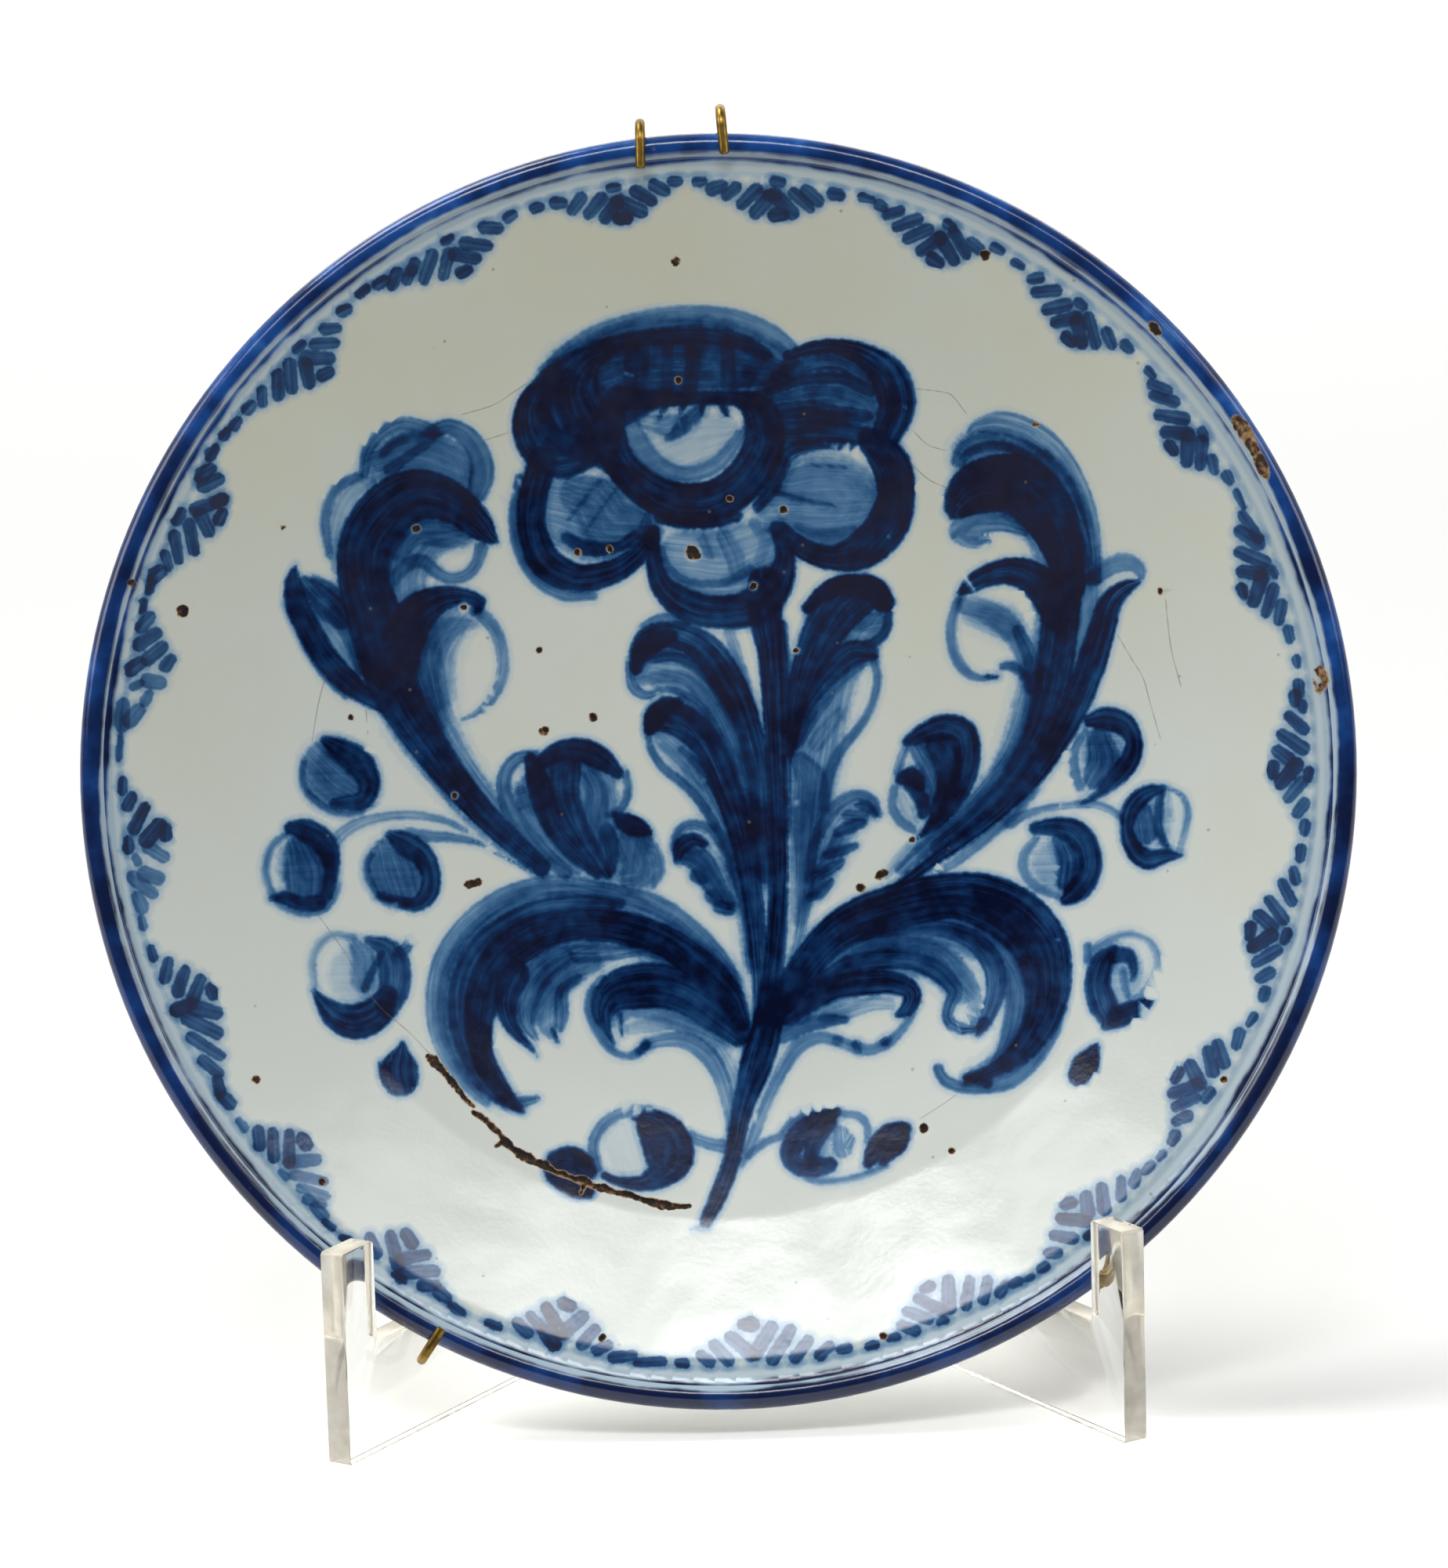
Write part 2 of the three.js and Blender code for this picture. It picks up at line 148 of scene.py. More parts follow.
class PlateSettings(bpy.types.PropertyGroup):
    """The plate's sizes and colours."""

    radius: length_setting("Radius", "From the axis to the rim", (PLATE_BOX[1].x - PLATE_BOX[0].x) / 2)
    lip: length_setting("Lip", "Thickness of the rounded lip", 5.6 * MM)
    dish: length_setting("Dish depth", "From the lip's front to the middle of the floor", 27 * MM)
    wall: length_setting("Wall", "Thickness of the flange", 6 * MM)
    glaze: colour_setting("Glaze", "Bare tin glaze", "cbd0ca")
    ink: colour_setting("Cobalt", "Cobalt blue where it lies thickest", "020a26")
    clay: colour_setting("Clay", "The fired clay that shows in chips and pits", "3f2716")


class HangerSettings(bpy.types.PropertyGroup):
    """The hanger's sizes and colours."""

    wire: length_setting("Wire", "Diameter of the hanger's wire", 2.32 * MM)
    spring_wire: length_setting("Spring wire", "Diameter of the springs' wire", 0.9 * MM)
    brass: colour_setting("Brass", "Tarnished brass", "9c7f3c")
    steel: colour_setting("Steel", "Brass-plated spring steel", "b3a98c")


class StandSettings(bpy.types.PropertyGroup):
    """The stand's edges and colour."""

    bevel: length_setting("Edge", "Width of the polished edge", 0.25 * MM)
    tint: colour_setting("Tint", "Colour of light that has crossed the sheet lengthwise", "f7ecd6")


class StageSettings(bpy.types.PropertyGroup):
    """The camera and the paper floor."""

    focal: bpy.props.FloatProperty(
        name="Focal length", description="Of the lens, in millimetres", default=161.92, unit="CAMERA")
    distance: length_setting("Distance", "From the camera to its aim, close before the plate", 1.619)
    pitch: bpy.props.FloatProperty(
        name="Pitch", description="How far the camera looks down", default=math.radians(13.03), subtype="ANGLE")
    roll: bpy.props.FloatProperty(
        name="Roll", description="How far the picture is turned", default=math.radians(1.65), subtype="ANGLE")
    floor: colour_setting("Floor", "Paper under the stand", "f4f4f2")
    paper: length_setting("Paper in front", "How far the paper reaches in front of the plate", 0.36)


# The plate's outline


def bend(start, control, end, steps):
    """Points of a quadratic curve."""
    t = np.linspace(0, 1, steps + 1)[:, None]
    start, control, end = np.array(start), np.array(control), np.array(end)
    return (1 - t) ** 2 * start + 2 * t * (1 - t) * control + t * t * end


class PlateOutline:
    """The plate's section: its front, its lip and its underside, with depths from the lip's middle."""

    def __init__(self, settings):
        self.radius = settings.radius / MM
        self.half = settings.lip / MM / 2
        self.dish = settings.dish / MM
        self.wall = settings.wall / MM
        self.centre = self.radius - self.half
        self.hollow_radius = self.radius - HOLLOW_INSET
        self.base = self.dish - self.half + BASE_THICKNESS
        self.ring = self.base + FOOT_HEIGHT
        self.foot_outer = FOOT_RADIUS + FOOT_WIDTH / 2
        self.foot_inner = FOOT_RADIUS - FOOT_WIDTH / 2

    def front(self):
        """From the middle of the floor to the start of the lip."""
        floor, edge = self.dish - self.half, WELL_EDGE_DEPTH - self.half
        hollow = HOLLOW_DEPTH - self.half
        lip = math.radians(LIP_START)
        inner = self.centre - self.half * math.cos(lip)
        middle, rim = (WELL_RADIUS + self.hollow_radius) / 2, (self.hollow_radius, hollow)
        floor_end, wall_foot, wall_middle, wall_head = [(radius, floor - rise) for radius, rise in WALL_BENDS]
        return np.concatenate([
            bend((0, floor), (FLOOR_BEND, floor), floor_end, 24),
            bend(floor_end, wall_foot, wall_middle, 14),
            bend(wall_middle, wall_head, (WELL_RADIUS, edge), 14),
            bend((WELL_RADIUS, edge), (middle, (edge + hollow) / 2 + FLANGE_SAG), rim, 16),
            bend(rim, (inner - 1, hollow), (inner, -self.half * math.sin(lip)), 10),
        ])

    def lip(self):
        """Round the edge, from its front to its back."""
        angles = np.radians(np.linspace(LIP_START - 180, LIP_END, 22))
        return np.stack([self.centre + self.half * np.cos(angles), self.half * np.sin(angles)], 1)

    def back(self):
        """From the lip over the foot ring to the middle of the underside."""
        slope = (WELL_EDGE_DEPTH - HOLLOW_DEPTH) / (self.hollow_radius - WELL_RADIUS)
        depth = self.wall * math.hypot(1, slope)
        over = math.radians(LIP_END)
        start = (self.centre + self.half * math.cos(over), self.half * math.sin(over))
        root = (self.foot_outer + FOOT_FLARE, self.base - 0.2)
        belly = ((WELL_RADIUS + self.foot_outer) / 2 + BELLY_SHIFT, self.base - 1)
        return np.concatenate([
            bend(start, (self.centre - 1.5, self.half + 0.6),
                 (self.hollow_radius - 1, HOLLOW_DEPTH - self.half + depth), 8),
            bend((WELL_RADIUS + 2, WELL_EDGE_DEPTH - self.half + depth), belly, root, 14),
            [
                (self.foot_outer, self.ring - FOOT_EDGE),
                (self.foot_outer - FOOT_EDGE, self.ring),
                (self.foot_inner + FOOT_EDGE, self.ring),
                (self.foot_inner, self.ring - FOOT_EDGE),
                (self.foot_inner - FOOT_FLARE, self.base + 0.2),
                (self.foot_inner - FOOT_FLARE - 2, self.base),
                (0, self.base),
            ],
        ])

    def whole(self):
        """The whole section, without repeated points."""
        points = np.concatenate([self.front(), self.lip(), self.back()])
        keep = [0]
        for i in range(1, len(points)):
            if np.hypot(*(points[i] - points[keep[-1]])) > 0.01:
                keep.append(i)
        return points[keep]


LATHE_TURNS = 180
# Zones of the front: from and to which radius, how far apart the lathe's rings are, and how many cuts per side
# each face gets afterwards
FRONT_ZONES = ((0, 14, 0.9, 0), (14, 27, 0.9, 0), (27, 55, 1.8, 1), (55, 80, 2.7, 2), (80, 111, 3.6, 3),
               (111, 123.5, 4.2, 1), (123.5, 139, 4.4, 4), (139, 141.5, 2.5, 2))
FRONT_END = FRONT_ZONES[-1][1]


def lathe_rings(outline):
    """The radii and depths of the rings that the plate is spun from, front to back."""
    front = outline.front()
    rings = [(0.0, front[0][1])]
    for start, end, step, _ in FRONT_ZONES:
        count = max(1, round((end - start) / step))
        radii = start + (end - start) * np.arange(1, count + 1) / count
        rings += [(r, np.interp(r, front[:, 0], front[:, 1])) for r in radii]
    rings += [tuple(p) for p in front if p[0] > FRONT_END + 0.3]
    rings += [tuple(p) for p in outline.lip()[1:]]
    rings += [tuple(p) for p in outline.back()[1:]]
    return rings


def spin_plate(outline):
    """The plate as a closed lathe with its axis along Z and its front upwards, in millimetres."""
    rings = lathe_rings(outline)
    bpy.ops.object.select_all(action="DESELECT")
    bpy.ops.mesh.primitive_circle_add(vertices=len(rings), radius=1)
    plate = bpy.context.object
    plate.name = "plate_glazed"
    bpy.ops.object.mode_set(mode="EDIT")
    bpy.ops.mesh.select_mode(type="EDGE")
    bpy.ops.mesh.select_all(action="DESELECT")
    shape = bmesh.from_edit_mesh(plate.data)
    shape.verts.ensure_lookup_table()
    for vertex, (radius, depth) in zip(shape.verts, rings):
        vertex.co = (radius, 0, -depth)
    for edge in shape.edges:
        edge.select_set(all(v.co.x < 1e-9 for v in edge.verts))
    bmesh.update_edit_mesh(plate.data)
    bpy.ops.mesh.delete(type="EDGE")
    bpy.ops.mesh.select_all(action="SELECT")
    bpy.ops.mesh.spin(steps=LATHE_TURNS, angle=2 * math.pi, center=(0, 0, 0), axis=(0, 0, 1))
    bpy.ops.mesh.select_all(action="SELECT")
    bpy.ops.mesh.remove_doubles(threshold=0.0005)
    bpy.ops.mesh.normals_make_consistent(inside=False)
    for start, end, _, cuts in FRONT_ZONES:
        if cuts:
            subdivide_zone(plate, start, end, cuts)
    bpy.ops.object.mode_set(mode="OBJECT")
    return plate


def subdivide_zone(plate, start, end, cuts):
    """Cuts the front faces between two radii into smaller ones."""
    bpy.ops.mesh.select_mode(type="FACE")
    bpy.ops.mesh.select_all(action="DESELECT")
    shape = bmesh.from_edit_mesh(plate.data)
    for face in shape.faces:
        middle = face.calc_center_median()
        radius = math.hypot(middle.x, middle.y)
        face.select_set(start < radius < end and face.normal.z > 0)
    bmesh.update_edit_mesh(plate.data)
    bpy.ops.mesh.subdivide(number_cuts=cuts)


def settle_on_outline(plate, outline):
    """Moves the cut-in points of the front back onto the plate's outline."""
    mesh = plate.data
    co = vertex_places(mesh)
    radius = np.hypot(co[:, 0], co[:, 1])
    front = outline.front()
    depth = np.interp(radius, front[:, 0], front[:, 1])
    on_front = (radius < FRONT_END + 0.2) & (np.abs(-co[:, 2] - depth) < 2)
    co[on_front, 2] = -depth[on_front]
    mesh.vertices.foreach_set("co", co.ravel())
    return on_front


def vertex_places(mesh):
    """The places of a mesh's vertices, one row each."""
    co = np.zeros(len(mesh.vertices) * 3)
    mesh.vertices.foreach_get("co", co)
    return co.reshape(-1, 3)


# Brush strokes


class Stroke:
    """One pull of the brush: its ink (or two, for its start and end), its streaks (or streaks and softness) and
    its points, each as across, up and width in mm."""

    def __init__(self, ink, streaks, *points, soft=0.55):
        self.ink, self.to = ink if isinstance(ink, tuple) else (ink, ink)
        self.streaks, self.soft = streaks if isinstance(streaks, tuple) else (streaks, soft)
        self.line = smooth_line(np.reshape(np.array(points, float), (-1, 3)))

    def reach(self):
        """How far past its edge a stroke still shows."""
        return self.soft + 1.4

    def lay(self, places):
        """Distance past the stroke's edge, ink, way along and way across, at each place."""
        line = self.line
        start, step = line[:-1, :2], np.diff(line[:, :2], axis=0)
        length = np.maximum(np.hypot(step[:, 0], step[:, 1]), 1e-9)
        unit = step / length[:, None]
        done = np.concatenate([[0], np.cumsum(length)])
        best = np.full(len(places), 1e9)
        along = np.zeros(len(places))
        across = np.zeros(len(places))
        for k in range(len(length)):
            offset = places - start[k]
            t = np.clip(offset @ unit[k], 0, length[k])
            away = offset - t[:, None] * unit[k]
            half = (line[k, 2] + (line[k + 1, 2] - line[k, 2]) * t / length[k]) / 2
            gap = np.hypot(away[:, 0], away[:, 1]) - half
            side = (offset[:, 1] * unit[k, 0] - offset[:, 0] * unit[k, 1]) / np.maximum(half, 0.05)
            closer = gap < best
            best = np.where(closer, gap, best)
            along = np.where(closer, done[k] + t, along)
            across = np.where(closer, side, across)
        share = along / done[-1]
        ink = self.ink + (self.to - self.ink) * share
        widest = line[:, 2].max() / 2
        return best, ink, along, across * widest


def smooth_line(points):
    """A smooth line through points (across, up, width), with a step about every millimetre."""
    if len(points) == 1:
        points = np.array([points[0], points[0] + (0.01, 0, 0)])
    ends = np.concatenate([[2 * points[0] - points[1]], points, [2 * points[-1] - points[-2]]])
    line = []
    for k in range(1, len(ends) - 2):
        p0, p1, p2, p3 = ends[k - 1 : k + 3]
        count = max(2, int(np.hypot(*(p2 - p1)[:2]) / 1.1))
        t = (np.arange(count) / count)[:, None]
        line.append(0.5 * (2 * p1 + (p2 - p0) * t + (2 * p0 - 5 * p1 + 4 * p2 - p3) * t**2
                           + (3 * p1 - p0 - 3 * p2 + p3) * t**3))
    line = np.concatenate(line + [points[-1:]])
    line[:, 2] = np.maximum(line[:, 2], 0.1)
    return line


# The painting, as a painter lays it. Each row is one pull of the brush: its ink, from 0 for none to 1 for the
# thickest, its streaks, from 0 for none to 1 for a dry brush, and its points, each as across, up and width in mm.
# A pair in place of the ink is the ink at its start and end, and one in place of the streaks adds its softness.

FLOWER = [
    # upper petal
    (0.46, 0.3, -38, 94.5, 3, -32, 99, 4, -25, 102.5, 5, -15, 105.3, 5, -5, 106.3, 5, 4, 105.7, 5, 11, 103.7,
     5, 17, 100, 5, 20, 96.5, 4, 18, 93, 3),
    (0.62, 0.5, -20, 94, 12, -8, 95, 12, 2, 95, 11, 11, 94, 9, 17, 93, 5),
    (0.8, 0.5, -26, 100, 3, -14, 101.5, 4, -2, 102, 4, 7, 100.5, 4, 14, 97, 3),
    (0.55, 0.5, -16, 98, 6, -17, 90, 6), (0.45, 0.5, -9, 99, 2.5, -9.5, 89, 3),
    (0.6, 0.5, -3, 98, 3.5, -4, 90, 3.5), (0.6, 0.5, 5, 99, 3, 5, 90, 4), (0.4, 0.5, 12, 96, 4, 9, 91, 4),
    (0.97, 0.2, -36, 93, 6, -41, 86, 8, -40, 79, 11, -35, 75, 11, -29, 78, 12),
    (0.96, 0.3, -22, 99, 3, -28, 96.5, 7, -32, 90, 14, -30, 83, 18, -26, 79, 12),
    # eye
    (0.99, 0.15, -21, 88, 6, -14, 87.5, 4.5, -7, 87.5, 3.5, -1, 87.5, 3.5, 7, 87, 4, 12, 84, 8, 13, 77, 10,
     9.5, 70, 10, 3, 64.5, 10, -5, 63, 10, -13, 65.5, 9, -19.5, 71, 8, -23, 78, 8, -22, 86, 6),
    (0.44, 0.3, -17.5, 81.5, 4, -17, 78, 6, -14.5, 74, 6, -10.5, 71, 5, -5.5, 70, 4, 0.5, 71.5, 4, 5, 75.5,
     3.5, 8, 80, 2.5), (0.34, 0.5, -15, 82.5, 4, -10, 81.5, 5, -6, 82, 4),
    (0.62, 0.3, -9.5, 78.5, 2, -6, 81, 4, -2.5, 84.3, 3.5),
    (0.9, 0.3, -22, 83, 5, -18, 84.5, 4.5, -13, 86.5, 3.5), (0.85, 0, -9.5, 87, 2.4, -11.5, 83.2, 1),
    (0.85, 0, -5.5, 87, 2.4, -6.5, 84.2, 1), (0.85, 0, -1, 87, 2.4, -1.6, 83.8, 1),
    (0.85, 0, 3, 87, 2.6, 4.6, 82.8, 1.2),
    # right upper petal
    (0.96, 0.3, 19, 96.5, 2.5, 25, 98, 3.5, 31, 98, 4, 37.5, 95.5, 6, 42.5, 90.5, 9, 44, 84, 9, 41.5, 77.5, 7),
    (0.62, 0.5, 16, 91.5, 3, 24, 94.5, 4, 31, 94.5, 4, 37, 91, 4),
    (0.8, 0.4, 14, 88.5, 2.5, 22, 90.8, 3, 31, 91, 3, 38, 88, 3),
    (0.55, 0.6, 15, 86.5, 2.5, 25, 87.8, 4, 35, 86, 5, 38, 83, 4),
    (0.86, 0.5, 15, 83.5, 4, 23, 84, 4.5, 31, 82.5, 4.5, 37, 82, 3),
    (0.8, 0.6, 17, 79, 6, 26, 79, 6, 34, 78, 5, 40, 77, 4),
    # right petal
    (0.22, 0.9, 19, 66, 13, 26, 66, 17, 31, 64, 17, 28, 59, 14, 20, 60, 9),
    (0.97, 0.2, 37, 76.5, 5, 42, 71.5, 9, 43.5, 64, 9, 41, 56.5, 10, 35, 51, 9, 28, 49.5, 6, 21, 52, 5, 16,
     56.5, 4), (0.8, 0.5, 11, 62, 3, 14.5, 66, 3.5, 16.5, 70, 3.5, 19, 74.5, 4, 26, 76, 3, 33, 75.5, 3),
    (0.6, 0.6, 15, 65.5, 1.5, 22, 63.2, 1.8, 29, 61.5, 1), (0.45, 0.5, 24, 71.2, 1, 32, 70.5, 0.8),
    (0.4, 0.8, 20, 57, 2, 26, 55, 3, 33, 55.5, 3),
    # lower left petal
    (0.38, 0.9, -31, 66, 9, -27, 64, 12, -24, 59, 13, -18, 58, 9),
    (0.96, 0.25, -39, 74, 7, -41.5, 66, 7, -42, 58, 7, -39, 50.5, 8, -32, 46.5, 7, -24, 47.5, 6, -18, 51, 5,
     -14, 56, 3),
    (0.6, 0.5, -44.5, 70, 2.5, -46, 62, 3, -45.5, 54, 3, -41.5, 46.5, 3, -35, 42.5, 3, -28, 42, 2),
    (0.5, 0.5, -33.5, 60, 1, -26, 69, 1.4), (0.5, 0.5, -30, 57, 1, -22, 67, 1.2),
    (0.75, 0.8, -34, 56, 3, -29, 53.5, 4, -22, 53.5, 3, -18, 56, 3), (0.5, 0.5, -14.5, 61, 2, -16, 57, 3),
    (0.75, 0.6, -18, 70, 3, -21, 71, 4, -26, 73.5, 3),
    # bottom petal
    (0.97, 0.2, -13.5, 57, 3, -13.7, 50, 4, -11.5, 43.5, 6, -5.5, 39, 8, 2, 37.5, 8, 9, 38.5, 9, 14.5, 43, 8,
     17, 50, 5, 15, 57, 3), (0.9, 0.3, -12, 60, 3, -6, 58.7, 3, 0, 58.7, 3, 6, 60, 3),
    (0.36, 0.9, 2.5, 56, 4, 5, 51, 4.5, 6, 46.5, 4), (0.3, 0.7, 10, 58, 3, 12.5, 54, 3, 11, 49, 3),
    (0.5, 0.6, -12, 53, 1.5, -10, 48, 2, -5, 44.7, 2, 3, 44.5, 2, 9, 47.5, 2.5),
    (0.35, 0.9, -2, 55, 3, -0.5, 51, 2.5),
]

LEAVES = [
    # trunk
    (0.97, 0.25, 12, 44, 8, 12, 36, 8, 12.8, 28, 6, 13.3, 16, 5.5, 13.5, 4, 5, 13.6, -10, 4.6, 13.4, -24, 4.8,
     12.5, -38, 5, 11, -50, 5.5, 9.5, -60, 7.5, 7, -68, 8, 5, -74, 6.3, 3, -80, 5, 1.7, -86, 4.4, 0, -92, 4.2,
     -3, -99, 4, -6, -104.5, 3), (0.82, 0.6, 15.7, 34, 3, 16.3, 24, 3, 16.4, 12, 2.4, 16.2, 0, 2, 15.8, -14, 2),
    (0.25, 0.5, -9.3, -106.5, 1.6, -5.5, -105.5, 2),
    # upper left leaf
    ((0.9, 0.8), 0.55, -18.7, 24, 2, -18.3, 28, 4, -15.5, 31.5, 6.5, -11, 32.8, 6.5, -6, 31.5, 7, -1.5, 28, 8,
     2.5, 22, 8, 5.8, 15, 7, 8, 7, 6.5, 9.5, -1, 6, 10, -12, 5, 10.3, -24, 5),
    (0.98, 0.1, -18.6, 25, 3, -17, 28.5, 4.5, -14, 31, 5, -10, 32.5, 3),
    (0.7, 0.8, -15, 27, 2.5, -9.5, 27.8, 3.5, -4.5, 25, 3.5, -0.3, 20, 3.5, 3.2, 13, 3.2, 5.6, 5, 3, 7.5, -4,
     3, 8.5, -16, 3),
    (0.36, 0.7, -17.5, 22, 2.6, -12, 22.8, 3.4, -7, 21.8, 3.6, -3, 18.3, 3.4, 0, 13.8, 3, 2.5, 8, 2.6, 4.8, 2,
     2.2, 6.3, -4, 1.8, 7.2, -12, 1.4),
    (0.62, 0.5, -20.2, 26, 1.8, -19.6, 21, 2.6, -17, 18.6, 2.4, -14.5, 18.9, 1.6),
    (0.56, 0.6, -14, 20, 1.4, -9, 19.2, 2, -4, 15.8, 2.4, -0.8, 11, 2.2, 1.8, 5.5, 2, 4, 0, 2),
    (0.5, 0.5, -17, 34.7, 1.4, -13.5, 36.7, 2, -10, 36.8, 1.8, -6.5, 35, 1.2),
    # gap strokes between the upper left leaf and the trunk
    (0.4, 0.4, 3.5, 32.5, 3, 5.5, 26, 2.6, 7.5, 19, 2.2, 9, 11, 1.6, 10.4, 2, 1),
    # lower left leaf
    ((0.88, 0.78), 0.65, -13.5, 13.5, 7, -9, 12.5, 8, -4.5, 9, 8, -1, 3.5, 7.5, 2, -4, 7, 4.3, -12, 6.5, 6,
     -20, 6, 7.2, -30, 5.2, 8, -40, 4.6, 8.4, -50, 4, 8, -58, 4),
    (0.99, 0, -15.8, 10.5, 3, -14.5, 13, 5, -12, 16, 4.5, -9, 16.7, 2.5),
    (0.72, 0.5, -11.5, 15.5, 2, -7, 15, 3, -3, 11.5, 2.5, 0.5, 6, 2),
    (0.58, 0.5, -16.4, 10, 1.6, -15.7, 6, 2, -13, 1.5, 2.4, -9.3, -1.5, 2.4, -5.8, -5, 2.4, -2.8, -9.5, 2.4,
     -0.3, -14, 2.4, 2.2, -20, 2.8, 4.2, -27, 2.8, 5.6, -36, 2, 6, -46, 1.5),
    (0.26, 0.8, -13, 6.5, 2, -9.5, 3.5, 2, -5.5, -0.5, 2.4, -2, -5, 2, 1, -11, 2, 3, -17, 1.6, 4.6, -25, 1.2),
    (0.62, 0.8, -8.5, 5.5, 2, -3.5, 0.5, 2.6, 0.3, -6, 2.6, 3, -14, 2.4, 5, -24, 2.2),
    # scalloped leaf
    (0.56, 0.5, -11, -17.5, 2, -10, -13.7, 2.4, -7, -12, 2.6, -3.5, -12.7, 2.6, -0.7, -15.5, 2.2, 1.5, -20, 2,
     3.2, -27, 1.5), (0.88, 0.3, -10.4, -20.5, 1.6, -9.3, -17, 4, -6.5, -15.6, 3.6, -4, -16.5, 2.4),
    (0.66, 0.6, -8, -19.5, 4.5, -5, -20.5, 6, -3, -24, 6, -1, -27.5, 5, 1, -30.5, 4.5),
    (0.72, 0.5, -6, -24, 3.4, -4.5, -25, 3), (0.72, 0.5, -2.5, -29, 3.4, -1, -30, 3),
    (0.8, 0.5, -0.5, -31.5, 3.6, 1.5, -32, 3.4),
    # upper right leaf
    (0.93, 0.35, 17, 4, 2.4, 18, 12, 4, 20, 20, 6.5, 23.3, 28, 9, 27.8, 35.5, 11, 32.5, 40, 11, 37, 41, 8, 40,
     38.7, 5), (0.98, 0, 22, 38, 3, 27, 42, 4.5, 33, 43, 5, 38, 41, 5, 40.3, 38, 3),
    (0.4, 0.9, 33, 32.5, 1.6, 37, 34, 5, 39, 34, 4),
    (0.72, 0.4, 41, 36.5, 2, 40.3, 32.5, 2.6, 37.8, 29.7, 2.8, 35, 29, 2),
    (0.92, 0.45, 17.5, 7, 2, 19.3, 12, 3, 23, 18, 4, 27.5, 23.5, 6, 32, 27.2, 6, 36.5, 27, 4),
    (0.6, 0.7, 18.5, 6, 3, 21.5, 11, 3, 25.5, 16.5, 3, 30, 21.5, 3, 34.5, 24.5, 2),
    (0.56, 0.5, 37, 26, 2.2, 38, 21, 2.4, 36.3, 14.5, 2.4, 32.8, 9, 2.6, 28.5, 4, 2.8, 25.5, -2, 3, 24.5, -9,
     2.6),
    (0.48, 0.8, 19, 2, 5, 21.5, -3, 8, 20.8, -10, 8, 20, -18, 6, 19.5, -26, 4.5, 18.5, -35, 3, 16.5, -43, 2.4,
     14.5, -49, 1.4), (0.3, 0.9, 23, 6, 4, 26, 10, 4, 28.5, 13, 3),
    # comb leaf
    (0.6, 0.5, 20.5, -26, 2.6, 21.5, -19, 2.8, 24, -13, 3, 27.8, -8.3, 3.2, 32, -6.3, 2.8, 35.8, -7.6, 2.8,
     37.3, -11, 1.8), (0.85, 0.5, 32, -8.5, 1.4, 34.5, -8.8, 3, 36.3, -10.8, 2),
    (0.66, 0.5, 29.5, -10.8, 2.4, 33.5, -11.2, 3), (0.7, 0.5, 27.5, -15, 2.6, 30, -13.8, 3.6, 33, -12.8, 3),
    (0.7, 0.5, 25, -20, 2.6, 28, -19.2, 3, 31.5, -18, 2),
    (0.7, 0.5, 23, -24.7, 2.4, 25.5, -23.4, 3, 28.2, -21.8, 2),
    (0.7, 0.5, 20.5, -29.8, 2.4, 23, -28.8, 3, 25.6, -26.2, 2),
    (0.5, 0.6, 21.5, -29, 3, 24.5, -22, 3.4, 27.5, -16, 3),
]

